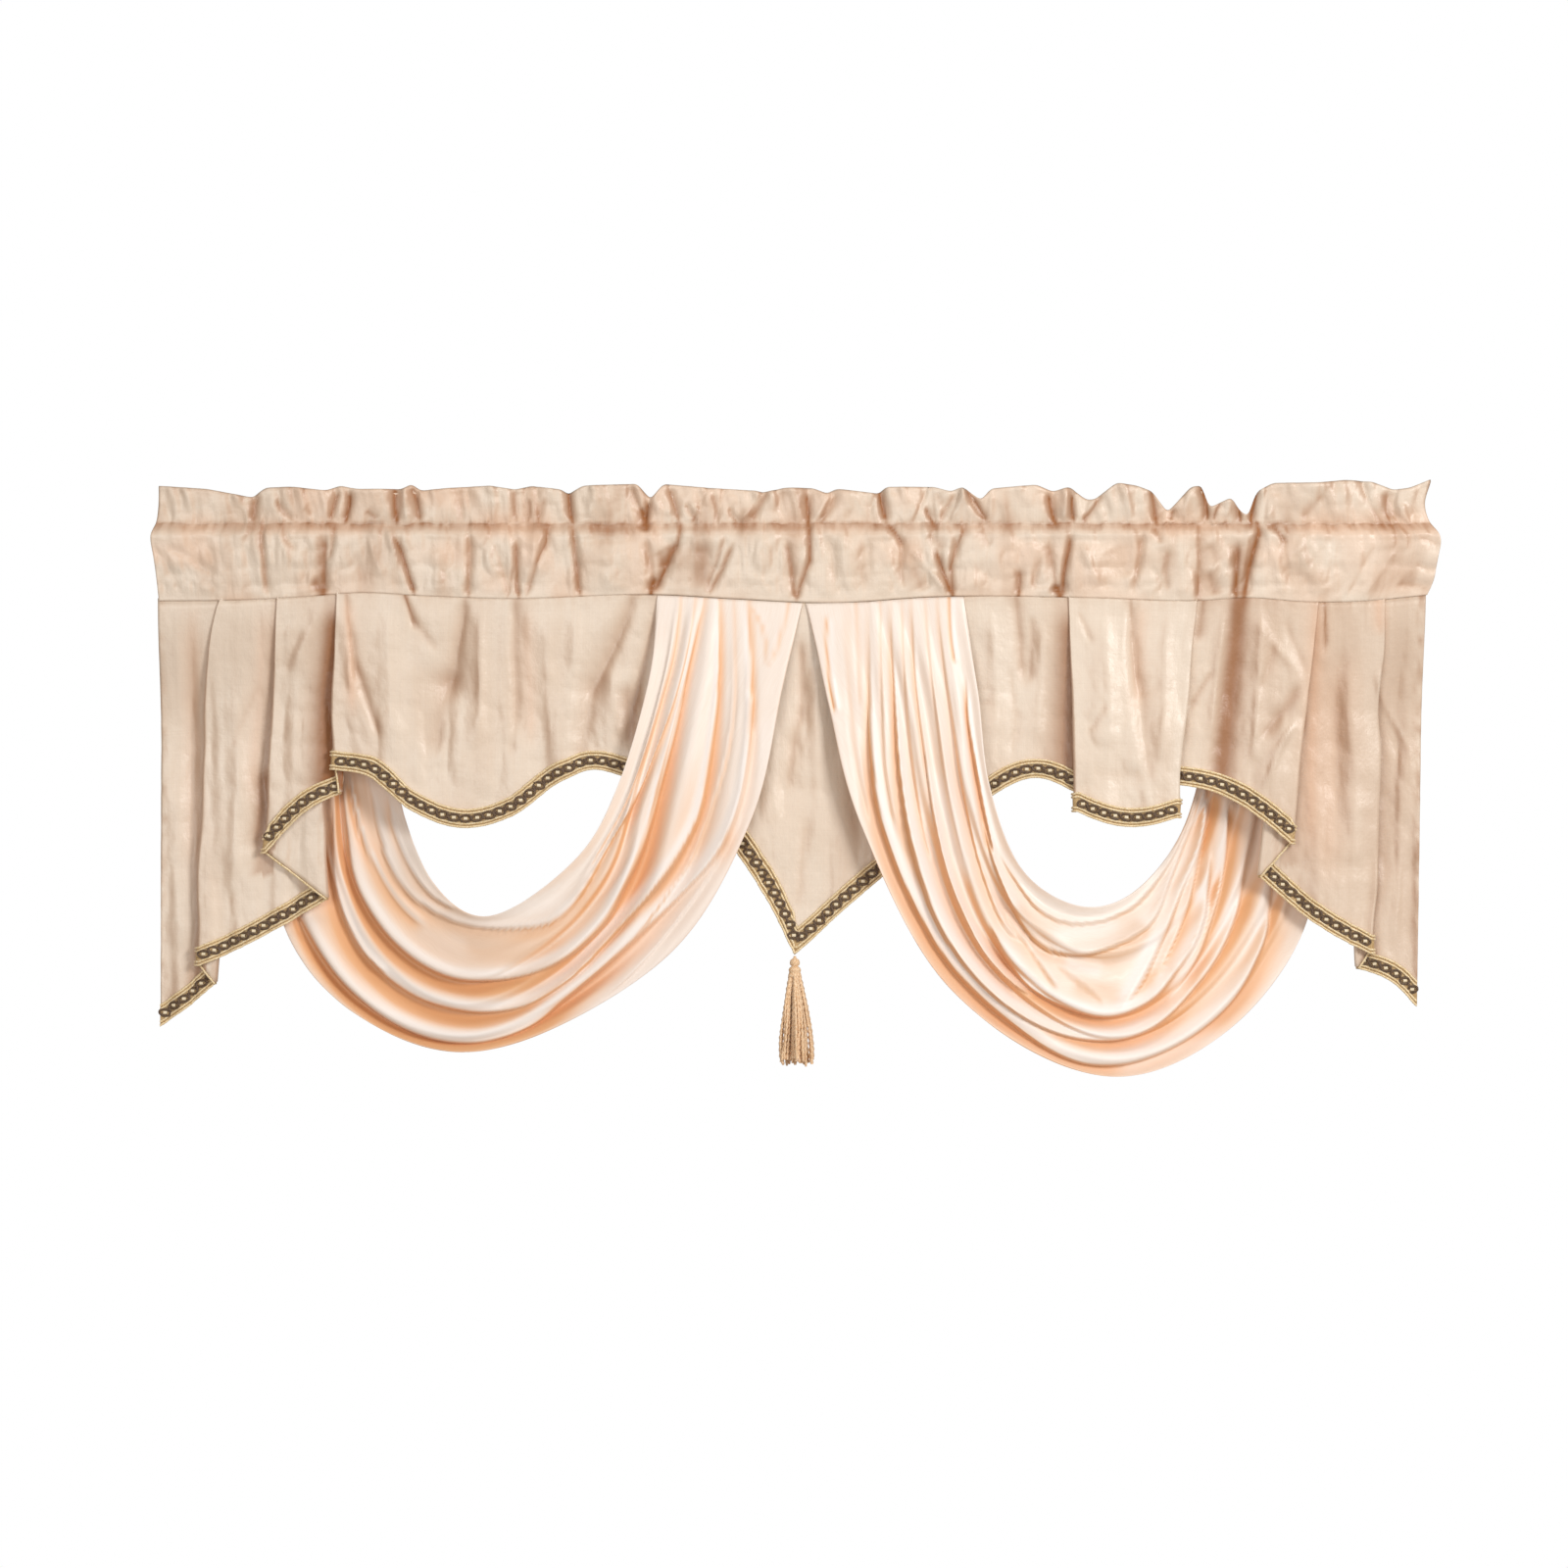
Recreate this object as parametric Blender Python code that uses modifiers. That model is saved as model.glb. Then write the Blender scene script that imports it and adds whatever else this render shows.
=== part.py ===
"""A scarf valance: gathered heading with a rod pocket, a shaped panel that ends in two stepped cascades,
two satin swags, a gimp braid along the panel's hem and a tassel on its centre point.

Sizes are in millimetres and are scaled to metres where a mesh is made. X runs across the window, Y from
the room towards the wall, and Z up. The origin is on the rod line, under the ruffle, at the middle of the
width. A drop is a distance below the rod line.
"""

import collections
import math

import bmesh
import bpy
import numpy as np
from mathutils import Vector

MM = 0.001
COLLECTION = "scarf_valance"

CLOTH = 1.2
BRAID = 1.0
BRAID_GAP = 0.3
SEAM_GAP = 0.45

HALF_WIDTH = 652.0
SEAM_DROP = 76.0
RUFFLE_RISE = 38.0
POCKET_DEPTH = 13.2
STEM_HALF = 1.4
SEAM_HALF = 6.2

PANEL_DROP = SEAM_DROP + CLOTH / 2 + SEAM_GAP
PITCH_AT_SEAM = 2.0
PITCH_AT_HEM = 6.0
OPENS_OVER = 150.0
FOLD_STEPS = 4
PANEL_STEP = 17.0
PANEL_ROWS = 5
BRAID_WIDTH = 20.0
BRAID_PAST_HEM = 3.0

SWAG_DROP = SEAM_DROP + CLOTH / 2 + SEAM_GAP
SWAG_STEPS = 27
SWAG_ROWS_PER_LINE = 2

TASSEL_X = 1.0
TASSEL_Y = -2.6
HEAD_SIDES = 12
# The head's outline: radius and drop.
HEAD_PROFILE = ((0.0, 440.4), (1.4, 440.6), (1.7, 442.5), (4.4, 445), (4.9, 448), (3.4, 450.5), (5.6, 453),
                (6.2, 455.5), (5.2, 457.5), (6.6, 460), (0.0, 461.5))
SKIRT_TOP = 457.5
SKIRT_LENGTH = 92.0
SKIRT_LEAN = 2.5
STRAND_ROOT = 0.75
STRAND_END = 1.5
# The skirt's rings of strands: how many, and their distance from the middle at the head and at the end.
Ring = collections.namedtuple("Ring", "count root reach")
SKIRT_RINGS = (Ring(3, 1.0, 3.0), Ring(7, 2.6, 8.0), Ring(12, 4.2, 12.5), Ring(16, 5.7, 16.5))

COLOURS = {
    "taffeta": ((0.78, 0.68, 0.56), 0.42, 0.0),
    "satin": ((0.93, 0.74, 0.58), 0.3, 0.0),
    "braid": ((0.70, 0.52, 0.22), 0.4, 0.3),
    "tassel": ((0.84, 0.60, 0.38), 0.45, 0.0),
}

# Where the cloth turns back on itself, from the left edge to the right. Each row gives the turn's place at
# the seam and at the hem, the hem's drop there, and for the run that starts there its layer, counted in
# pitches behind the middle of the panel, and how far its hem bows down.
Turn = collections.namedtuple("Turn", "seam_x hem_x drop layer bow")
TURNS = (
    Turn(-649, -651, 512, 6, 2),
    Turn(-567, -593, 468, 5, 0),
    Turn(-585, -614, 449, 4, 4),
    Turn(-500, -475, 381, 3, 0),
    Turn(-527, -543, 334, 2, -10),
    Turn(-450, -463, 273, 1, 0),
    Turn(-466, -473, 248, 0, 0),
    Turn(298, 303, 277, -1, 0),
    Turn(280, 286, 291, -2, 12),
    Turn(411, 391, 297, -1, 0),
    Turn(385, 372, 262, 0, -17),
    Turn(535, 511, 324, 1, 0),
    Turn(500, 475, 358, 2, 8),
    Turn(603, 594, 436, 3, 0),
    Turn(585, 575, 452, 4, -8),
    Turn(645, 639, 491, 4, 0),
)
MIDDLE_RUN = 6
POINT_X = 1.0

# The middle run's hem: x and drop, down a scallop, up, and down to the centre point, then back up.
HEM_LEFT = ((-473, 248), (-440, 254), (-395, 289), (-344, 307), (-290, 296), (-235, 258), (-207, 248),
            (-178, 254), (-120, 287), (-58, 332), (-29, 378), (1, 437))
HEM_RIGHT = ((1, 437), (86, 363), (145, 316), (200, 278), (250, 256), (303, 277))

# Soft folds in the panel: place at the seam and at the hem, half width, and push towards the wall.
Fold = collections.namedtuple("Fold", "seam_x hem_x half_width push")
PANEL_FOLDS = (
    Fold(-412, -410, 26, -6),
    Fold(-335, -372, 20, 7),
    Fold(-300, -298, 24, -7),
    Fold(-272, -272, 14, 3),
    Fold(-240, -250, 20, -5),
    Fold(-190, -232, 22, 7),
    Fold(-165, -205, 18, -5),
    Fold(-20, -30, 16, 4),
    Fold(20, 12, 20, -4),
    Fold(190, 196, 20, -5),
    Fold(268, 270, 16, 7),
    Fold(420, 425, 18, -5),
    Fold(456, 445, 15, 9),
    Fold(482, 475, 16, -4),
)

# The seam under the pocket: places across the width and how far it dips there.
SEAM_PLACES = (-652, -560, -500, -440, -380, -300, -130, -60, 40, 140, 300, 411, 464, 520, 590, 652)
SEAM_DIPS = (2, 1, -2, -6, -3, 0, -4, 0, 4, -2, -1, 2, -1, 3, 2, -4)

# Where the heading is gathered on the rod, how deep the ruffle is notched there, how much higher than the
# ruffle the puff that starts there stands, and how far that puff swells.
Gather = collections.namedtuple("Gather", "x notch rise swell")
GATHERS = (
    Gather(-652, 0, -2, 3), Gather(-601, 3, -5, 2), Gather(-551, 9, 0, 4), Gather(-470, 6, 1, 5),
    Gather(-401, 3, 0, 4), Gather(-326, 4, 2, 3), Gather(-284, 3, 0, 4), Gather(-228, 9, 4, 4),
    Gather(-146, 15, 4, 5), Gather(-112, 3, 0, 3), Gather(-36, 4, 1, 4), Gather(31, 6, 1, 5),
    Gather(94, 3, 2, 4), Gather(145, 5, 1, 3), Gather(192, 12, 3, 5), Gather(264, 9, 3, 4),
    Gather(302, 14, 6, 5), Gather(350, 2, 3, 3), Gather(382, 22, 5, 4), Gather(423, 20, -4, 2),
    Gather(458, 32, 8, 4), Gather(534, 6, 5, 5), Gather(598, 4, 6, 4), Gather(652, 0, 0, 0),
)
HEADING_STEPS_PER_PUFF = 3
RUFFLE_SWING = 6.0
# How far the heading's ends bulge outwards, from the seam up to the ruffle's edge.
END_BULGES = (-3, 2, 8, 3, -3, 0, 3)

# A swag's two edges, x and drop at the stations of its length, from the seam in front of the panel, down
# through the lowest point, to the seam behind the panel.
STATIONS = (0.0, 0.12, 0.24, 0.36, 0.5, 0.62, 0.72, 0.85, 1.0)
LEFT_UPPER = ((-139, 77), (-150, 165), (-180, 270), (-220, 340), (-313, 400), (-370, 365), (-400, 300),
              (-414, 205), (-422, 77))
LEFT_LOWER = ((9, 77), (-12, 170), (-45, 303), (-130, 440), (-322, 537), (-450, 498), (-520, 420),
              (-542, 265), (-548, 77))
RIGHT_UPPER = ((173, 77), (188, 170), (198, 265), (230, 350), (298, 390), (355, 370), (398, 314),
               (427, 205), (440, 77))
RIGHT_LOWER = ((12, 77), (35, 185), (70, 310), (155, 468), (318, 562), (442, 517), (520, 422),
               (545, 265), (552, 77))

# The lines of a swag's folds: the share of the way from the upper edge to the lower one, at five places
# along it, and how far each stands towards the wall (a valley) or the room (a ridge), as a share of the
# fold depth.
LINE_STATIONS = (0.0, 0.24, 0.5, 0.72, 1.0)
Line = collections.namedtuple("Line", "seam leg low rise tail out")
LEFT_LINES = (
    Line(0.00, 0.03, 0.05, 0.05, 0.00, 0.9),
    Line(0.03, 0.00, 0.00, 0.00, 0.03, -0.3),
    Line(0.11, 0.08, 0.10, 0.20, 0.14, 0.4),
    Line(0.15, 0.12, 0.40, 0.42, 0.27, -0.7),
    Line(0.20, 0.16, 0.49, 0.47, 0.36, 0.8),
    Line(0.26, 0.23, 0.62, 0.52, 0.45, -0.8),
    Line(0.33, 0.33, 0.71, 0.61, 0.55, 1.0),
    Line(0.39, 0.46, 0.85, 0.82, 0.66, -0.9),
    Line(0.45, 0.64, 0.92, 0.89, 0.76, 0.9),
    Line(0.58, 0.82, 0.96, 0.945, 0.87, -0.3),
    Line(0.95, 1.00, 1.00, 1.00, 0.95, -0.6),
    Line(1.00, 0.97, 0.955, 0.95, 1.00, 1.3),
)
RIGHT_LINES = (
    Line(0.00, 0.03, 0.05, 0.05, 0.00, 0.9),
    Line(0.03, 0.00, 0.00, 0.00, 0.03, -0.3),
    Line(0.08, 0.08, 0.08, 0.12, 0.12, 0.5),
    Line(0.16, 0.16, 0.26, 0.26, 0.25, -0.6),
    Line(0.24, 0.22, 0.34, 0.34, 0.35, 0.7),
    Line(0.33, 0.30, 0.60, 0.46, 0.45, -0.8),
    Line(0.40, 0.38, 0.67, 0.53, 0.54, 1.0),
    Line(0.47, 0.47, 0.75, 0.66, 0.62, -0.8),
    Line(0.53, 0.55, 0.79, 0.73, 0.70, 0.9),
    Line(0.58, 0.68, 0.88, 0.82, 0.80, -0.9),
    Line(0.64, 0.85, 0.94, 0.88, 0.89, 0.3),
    Line(0.95, 1.00, 1.00, 1.00, 0.95, -0.6),
    Line(1.00, 0.97, 0.96, 0.95, 1.00, 1.2),
)
# How far a swag stands towards the wall, and the depth of its folds, along its length.
SWAG_DEPTH_AT = (0.0, 0.06, 0.24, 0.5, 0.62, 0.72, 0.85, 0.95, 1.0)
LEFT_SWAG_Y = (-3.6, -9, -25, -18, 8, 34, 37, 16, 5.2)
RIGHT_SWAG_Y = (-3.6, -9, -25, -18, 6, 29, 31, 14, 5.2)
SWAG_FOLD_DEPTH = (0.7, 4, 9, 9, 7, 7, 6, 2.5, 0.7)


def clear_scene():
    for obj in list(bpy.data.objects):
        bpy.data.objects.remove(obj, do_unlink=True)


def through(places, values, at):
    """A smooth curve through values at increasing places, read at the places in at."""
    places = np.asarray(places, float)
    values = np.asarray(values, float)
    at = np.clip(np.asarray(at, float), places[0], places[-1])
    slopes = np.gradient(values, places, axis=0)
    i = np.clip(np.searchsorted(places, at, side="right") - 1, 0, len(places) - 2)
    span = places[i + 1] - places[i]
    f = (at - places[i]) / span
    if values.ndim > 1:
        f = f[:, None]
        span = span[:, None]
    start = (1 + 2 * f) * (1 - f) ** 2 * values[i] + f * (1 - f) ** 2 * span * slopes[i]
    end = f * f * (3 - 2 * f) * values[i + 1] + f * f * (f - 1) * span * slopes[i + 1]
    return start + end


def eased(x, low, high):
    """0 below low, 1 above high, and a smooth rise between."""
    f = np.clip((x - low) / (high - low), 0, 1)
    return f * f * (3 - 2 * f)


def material_of(name):
    colour, roughness, metallic = COLOURS[name]
    made = bpy.data.materials.get(name) or bpy.data.materials.new(name)
    made.use_nodes = True
    shader = made.node_tree.nodes["Principled BSDF"]
    shader.inputs["Base Color"].default_value = (*colour, 1)
    shader.inputs["Roughness"].default_value = roughness
    shader.inputs["Metallic"].default_value = metallic
    return made


def object_of(name, bm, material, collection):
    mesh = bpy.data.meshes.new(name)
    bm.to_mesh(mesh)
    bm.free()
    mesh.shade_smooth()
    mesh.materials.append(material_of(material))
    made = bpy.data.objects.new(name, mesh)
    collection.objects.link(made)
    return made


def sheet_of(name, points, thickness, material, collection, tube=False):
    """A sheet whose grid of points is given in millimetres, rows by columns, made thickness thick. A tube's
    last row lies on its first one."""
    rows, columns = points.shape[:2]
    bm = bmesh.new()
    bmesh.ops.create_grid(bm, x_segments=columns - 1, y_segments=rows - 1, size=1)
    for vert in bm.verts:
        column = round((vert.co.x + 1) / 2 * (columns - 1))
        row = round((vert.co.y + 1) / 2 * (rows - 1))
        vert.co = points[row, column] * MM
    if tube:
        bmesh.ops.remove_doubles(bm, verts=bm.verts, dist=CLOTH * MM / 100)
    made = object_of(name, bm, material, collection)
    solid = made.modifiers.new("thickness", "SOLIDIFY")
    solid.thickness = thickness * MM
    solid.offset = 0
    return made


def normals_of(points):
    """The unit normals of a grid of points, towards the room on cloth that lies face out."""
    along = np.gradient(points, axis=1)
    down = np.gradient(points, axis=0)
    across = np.cross(down, along)
    return across / np.linalg.norm(across, axis=2, keepdims=True)


def seam_dip(x):
    return through(SEAM_PLACES, SEAM_DIPS, x)


def hem_drop(x):
    """The middle run's hem at x."""
    left = np.array(HEM_LEFT, float)
    right = np.array(HEM_RIGHT, float)
    return np.where(
        x < left[-1, 0],
        through(left[:, 0], left[:, 1], x),
        through(right[:, 0], right[:, 1], x),
    )


Columns = collections.namedtuple("Columns", "seam_x hem_x drop layer pull")


def run_columns(k, step):
    """The threads of the run from turn k to the next one, its two ends included."""
    start, end = TURNS[k], TURNS[k + 1]
    way = 1 if k % 2 == 0 else -1
    count = max(2, round(abs(end.hem_x - start.hem_x) / step) + 1)
    f = np.linspace(0, 1, count)
    if k == MIDDLE_RUN:
        point = (POINT_X - start.hem_x) / (end.hem_x - start.hem_x)
        f[np.argmin(np.abs(f - point))] = point
    first = 0 if k == 0 else way / 2
    last = 0 if k == len(TURNS) - 2 else -way / 2
    hem_x = start.hem_x + (end.hem_x - start.hem_x) * f
    drop = start.drop + (end.drop - start.drop) * f + start.bow * np.sin(math.pi * f)
    return Columns(
        start.seam_x + (end.seam_x - start.seam_x) * f,
        hem_x,
        hem_drop(hem_x) if k == MIDDLE_RUN else drop,
        np.full(count, float(start.layer)),
        first + (last - first) * f,
    )


def fold_columns(k, steps):
    """The threads round the fold at turn k, without its two ends."""
    turn, before = TURNS[k], TURNS[k - 1].layer
    way = 1 if k % 2 == 1 else -1
    angle = np.linspace(0, math.pi, steps + 1)[1:-1]
    same = np.ones(len(angle))
    return Columns(
        turn.seam_x * same,
        turn.hem_x * same,
        turn.drop * same,
        (before + turn.layer) / 2 + (before - turn.layer) / 2 * np.cos(angle),
        way * (np.sin(angle) - 1) / 2,
    )


def panel_columns(step, fold_steps):
    parts = [run_columns(0, step)]
    for k in range(1, len(TURNS) - 1):
        parts += [fold_columns(k, fold_steps), run_columns(k, step)]
    return Columns(*(np.concatenate(values) for values in zip(*parts)))


def panel_points(columns, share):
    """The panel's points. share, rows by columns, is how far down its thread each lies: 1 is the hem."""
    seam = PANEL_DROP + seam_dip(columns.seam_x)
    drop = seam + share * (columns.drop - seam)
    opened = eased(drop, seam, seam + OPENS_OVER)
    pitch = PITCH_AT_SEAM + (PITCH_AT_HEM - PITCH_AT_SEAM) * opened
    x = columns.seam_x + (columns.hem_x - columns.seam_x) * share + columns.pull * pitch
    y = columns.layer * pitch
    y -= (1 - opened) * (6 * eased(-x, 180, 420) + 2 * eased(x, 200, 270))
    for fold in PANEL_FOLDS:
        centre = fold.seam_x + (fold.hem_x - fold.seam_x) * share
        y += opened * fold.push * np.exp(-(((x - centre) / fold.half_width) ** 2))
    return np.stack([x, y, -drop], axis=2)


def braid_height(columns):
    """How much of each thread the braid covers: more where the hem is steep."""
    run = np.gradient(columns.hem_x)
    steep = np.abs(np.gradient(columns.drop)) / np.maximum(np.abs(run), 1)
    return BRAID_WIDTH * np.sqrt(1 + np.minimum(steep, 1.6) ** 2)


def make_panel(collection):
    columns = panel_columns(PANEL_STEP, FOLD_STEPS)
    length = columns.drop - PANEL_DROP - seam_dip(columns.seam_x)
    above = 1 - braid_height(columns) / length
    rows = np.append(np.linspace(0, 1, PANEL_ROWS), 1)[:, None]
    share = rows * above
    share[-1] = 1
    points = panel_points(columns, share)
    sheet_of("panel", points, CLOTH, "taffeta", collection)

    band = np.stack([above, np.ones_like(above), 1 + BRAID_PAST_HEM / length])
    laid = panel_points(columns, band)
    laid += normals_of(laid) * ((CLOTH + BRAID) / 2 + BRAID_GAP)
    sheet_of("hem_braid", laid, BRAID, "braid", collection)


def puff_of(x):
    """How far into its puff x lies, from 0 to 1, and the number of that puff."""
    places = np.array([gather.x for gather in GATHERS], float)
    i = np.clip(np.searchsorted(places, x, side="right") - 1, 0, len(places) - 2)
    return (x - places[i]) / (places[i + 1] - places[i]), i


def heading_places():
    places = [gather.x for gather in GATHERS]
    spans = zip(places, places[1:])
    inner = [np.linspace(a, b, HEADING_STEPS_PER_PUFF + 1)[:-1] for a, b in spans]
    return np.append(np.concatenate(inner), places[-1])


def make_heading(collection):
    """One strip, folded over: up the pocket's front, up the ruffle, over its edge and down the back."""
    x = heading_places()
    f, puff = puff_of(x)
    last = np.minimum(puff + 1, len(GATHERS) - 1)
    notches = np.array([gather.notch for gather in GATHERS], float)
    round_out = np.sin(math.pi * f) ** 0.7
    swell = round_out * np.array([gather.swell for gather in GATHERS], float)[puff]
    rise = round_out * np.array([gather.rise for gather in GATHERS], float)[puff]
    notch = notches[puff] * np.cos(math.pi * f / 2) ** 4 + notches[last] * np.sin(math.pi * f / 2) ** 4
    swing = RUFFLE_SWING * np.where(puff % 2 == 0, -1, 0.6) * round_out
    top = RUFFLE_RISE + rise - notch
    bottom = -SEAM_DROP - seam_dip(x)
    zero = np.zeros_like(x)
    belly = POCKET_DEPTH + swell
    # Each row is a line of the front from the seam up: its distance from the middle, and its height.
    front = (
        (zero + SEAM_HALF - CLOTH, bottom + CLOTH / 2),
        (belly * 0.93, bottom + 12),
        (belly, -SEAM_DROP * 0.48 + zero),
        (POCKET_DEPTH * 0.95 + swell * 0.5, -9 + zero),
        (zero + STEM_HALF, zero),
        (zero + STEM_HALF, top * 0.5),
        (zero + STEM_HALF * 0.8, top),
    )
    lean = [swing * max(0, k - 4) / 2 for k in range(len(front))]
    wide = [x * (1 + bulge / HALF_WIDTH) for bulge in END_BULGES]
    fore = [np.stack([w, y - out, z], axis=1) for w, y, (out, z) in zip(wide, lean, front)]
    back = [np.stack([w, y + out, z], axis=1) for w, y, (out, z) in zip(wide, lean, front)]
    ring = fore + back[::-1]
    sheet_of("heading", np.stack([*ring, ring[0]]), CLOTH, "taffeta", collection, tube=True)


def swag_points(upper, lower, lines, swag_y, steps, per_line):
    """The points of a swag, from its upper edge to its lower one by its length."""
    t = np.linspace(0, 1, steps)
    upper = through(STATIONS, upper, t)
    lower = through(STATIONS, lower, t)
    shares = np.array([through(LINE_STATIONS, line[:5], t) for line in lines])
    out = np.array([line.out for line in lines])[:, None]
    deep = through(SWAG_DEPTH_AT, swag_y, t) + out * through(SWAG_DEPTH_AT, SWAG_FOLD_DEPTH, t)
    flat = upper + shares[:, :, None] * (lower - upper)
    near_seam = 1 - eased(flat[:, :, 1], SWAG_DROP, SWAG_DROP + OPENS_OVER / 2)
    drop = np.maximum(flat[:, :, 1], SWAG_DROP) + near_seam * seam_dip(flat[:, :, 0])
    rows = np.stack([flat[:, :, 0], deep, -drop], axis=2)
    number = np.arange(len(lines))
    fine = np.linspace(0, len(lines) - 1, (len(lines) - 1) * per_line + 1)
    smooth = through(number, rows.reshape(len(lines), -1), fine)
    return smooth.reshape(len(fine), steps, 3)


def make_swag(name, upper, lower, lines, swag_y, collection):
    points = swag_points(upper, lower, lines, swag_y, SWAG_STEPS, SWAG_ROWS_PER_LINE)
    sheet_of(name, points, CLOTH, "satin", collection)


def strand(bm, angle, root, reach, length):
    """One lock of the skirt: a three-sided strand that leaves the head and hangs outwards."""
    sides, steps = 3, 3
    before = None
    for k in range(steps + 1):
        f = k / steps
        radius = root + (reach - root) * f ** 0.8
        centre = np.array(
            [radius * math.cos(angle) + SKIRT_LEAN * f, radius * math.sin(angle), -length * f]
        )
        thick = STRAND_ROOT + (STRAND_END - STRAND_ROOT) * f
        ring = []
        for side in range(sides):
            turn = angle + 2 * math.pi * side / sides
            offset = thick * np.array([math.cos(turn), math.sin(turn), 0])
            ring.append(bm.verts.new((centre + offset) * MM))
        if before:
            for side in range(sides):
                after = (side + 1) % sides
                bm.faces.new((before[side], ring[side], ring[after], before[after]))
        else:
            bm.faces.new(ring)
        before = ring
    bm.faces.new(before[::-1])


def make_tassel(collection, helpers):
    """A turned head, and a skirt of strands fused to it."""
    bm = bmesh.new()
    verts = [bm.verts.new((radius * MM, 0, -drop * MM)) for radius, drop in HEAD_PROFILE]
    edges = [bm.edges.new(pair) for pair in zip(verts, verts[1:])]
    bmesh.ops.spin(
        bm, geom=verts + edges, axis=(0, 0, 1), cent=(0, 0, 0), angle=2 * math.pi, steps=HEAD_SIDES
    )
    bmesh.ops.remove_doubles(bm, verts=bm.verts, dist=MM / 100)
    bmesh.ops.recalc_face_normals(bm, faces=bm.faces)
    bmesh.ops.translate(bm, verts=bm.verts, vec=Vector((TASSEL_X, TASSEL_Y, 0)) * MM)
    head = object_of("tassel", bm, "tassel", collection)

    bm = bmesh.new()
    for row, ring in enumerate(SKIRT_RINGS):
        for k in range(ring.count):
            length = SKIRT_LENGTH + 2.5 * math.sin(7.1 * k + 3.3 * row)
            strand(bm, 2 * math.pi * (k + 0.4 * row) / ring.count, ring.root, ring.reach, length)
    bmesh.ops.recalc_face_normals(bm, faces=bm.faces)
    bmesh.ops.translate(bm, verts=bm.verts, vec=Vector((TASSEL_X, TASSEL_Y, -SKIRT_TOP)) * MM)
    skirt = object_of("tassel_skirt", bm, "tassel", helpers)
    skirt.hide_render = True
    skirt.display_type = "WIRE"
    joined = head.modifiers.new("skirt", "BOOLEAN")
    joined.operation = "UNION"
    joined.object = skirt


def main():
    clear_scene()
    scene = bpy.context.scene.collection
    collection = bpy.data.collections.new(COLLECTION)
    helpers = bpy.data.collections.new("helpers")
    scene.children.link(collection)
    scene.children.link(helpers)
    make_heading(collection)
    make_panel(collection)
    make_swag("left_swag", LEFT_UPPER, LEFT_LOWER, LEFT_LINES, LEFT_SWAG_Y, collection)
    make_swag("right_swag", RIGHT_UPPER, RIGHT_LOWER, RIGHT_LINES, RIGHT_SWAG_Y, collection)
    make_tassel(collection, helpers)


main()
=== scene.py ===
"""The looks of a scarf valance: taffeta heading and panel, satin swags, gimp braid and tassel."""

import collections
import math

import bpy
import numpy as np
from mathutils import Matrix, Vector


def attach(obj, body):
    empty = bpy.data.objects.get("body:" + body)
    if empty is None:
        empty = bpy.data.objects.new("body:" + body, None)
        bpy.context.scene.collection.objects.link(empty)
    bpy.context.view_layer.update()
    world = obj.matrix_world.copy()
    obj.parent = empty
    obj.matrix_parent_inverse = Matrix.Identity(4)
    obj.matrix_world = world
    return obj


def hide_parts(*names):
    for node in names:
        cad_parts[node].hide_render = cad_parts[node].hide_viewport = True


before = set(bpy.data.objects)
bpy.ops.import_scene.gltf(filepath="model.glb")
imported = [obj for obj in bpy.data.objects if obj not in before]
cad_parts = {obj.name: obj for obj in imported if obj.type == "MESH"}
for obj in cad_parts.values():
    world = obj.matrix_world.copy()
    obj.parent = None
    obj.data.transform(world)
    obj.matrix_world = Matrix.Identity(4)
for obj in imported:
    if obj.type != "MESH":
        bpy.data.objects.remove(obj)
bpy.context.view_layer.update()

MM = 0.001

# Sizes, in millimetres, as in the solids.
CLOTH = 0.5
SEAM_DROP = 76.0
STEM_HALF = 1.4
HALF_WIDTH = 652.0
PANEL_DROP = SEAM_DROP - 2.5
PITCH_AT_HEM = 6.0
OPENS_OVER = 150.0
POINT_X = 1.0


def rows(kind, *values):
    """One record of this kind for each tuple of values."""
    return tuple(kind(*each) for each in values)


# The panel's folded edges from left to right: where each starts and ends, its layer, and the bow of the hem
# beyond it.
Turn = collections.namedtuple("Turn", "seam_x hem_x drop layer bow")
TURNS = rows(
    Turn,
    (-649, -651, 512, 6, 2), (-567, -593, 468, 5, 0), (-585, -614, 449, 4, 4), (-500, -475, 381, 3, 0),
    (-527, -543, 334, 2, -10), (-450, -463, 273, 1, 0), (-466, -473, 248, 0, 0), (298, 303, 277, -1, 0),
    (280, 286, 291, -2, 12), (411, 391, 297, -1, 0), (385, 372, 262, 0, -17), (535, 511, 324, 1, 0),
    (500, 475, 358, 2, 8), (603, 594, 436, 3, 0), (585, 575, 452, 4, -8), (645, 639, 491, 4, 0),
)
MIDDLE_RUN = 6
HEM_LEFT = ((-473, 248), (-440, 254), (-395, 289), (-344, 307), (-290, 296), (-235, 258), (-207, 248),
            (-178, 254), (-120, 287), (-58, 332), (-29, 378), (1, 437))
HEM_RIGHT = ((1, 437), (86, 363), (145, 316), (200, 278), (250, 256), (303, 277))

SEAM_PLACES = (-652, -560, -500, -440, -380, -300, -130, -60, 40, 140, 300, 411, 464, 520, 590, 652)
SEAM_DIPS = (2, 1, -2, -6, -3, 0, -4, 0, 4, -2, -1, 2, -1, 3, 2, -4)

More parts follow.
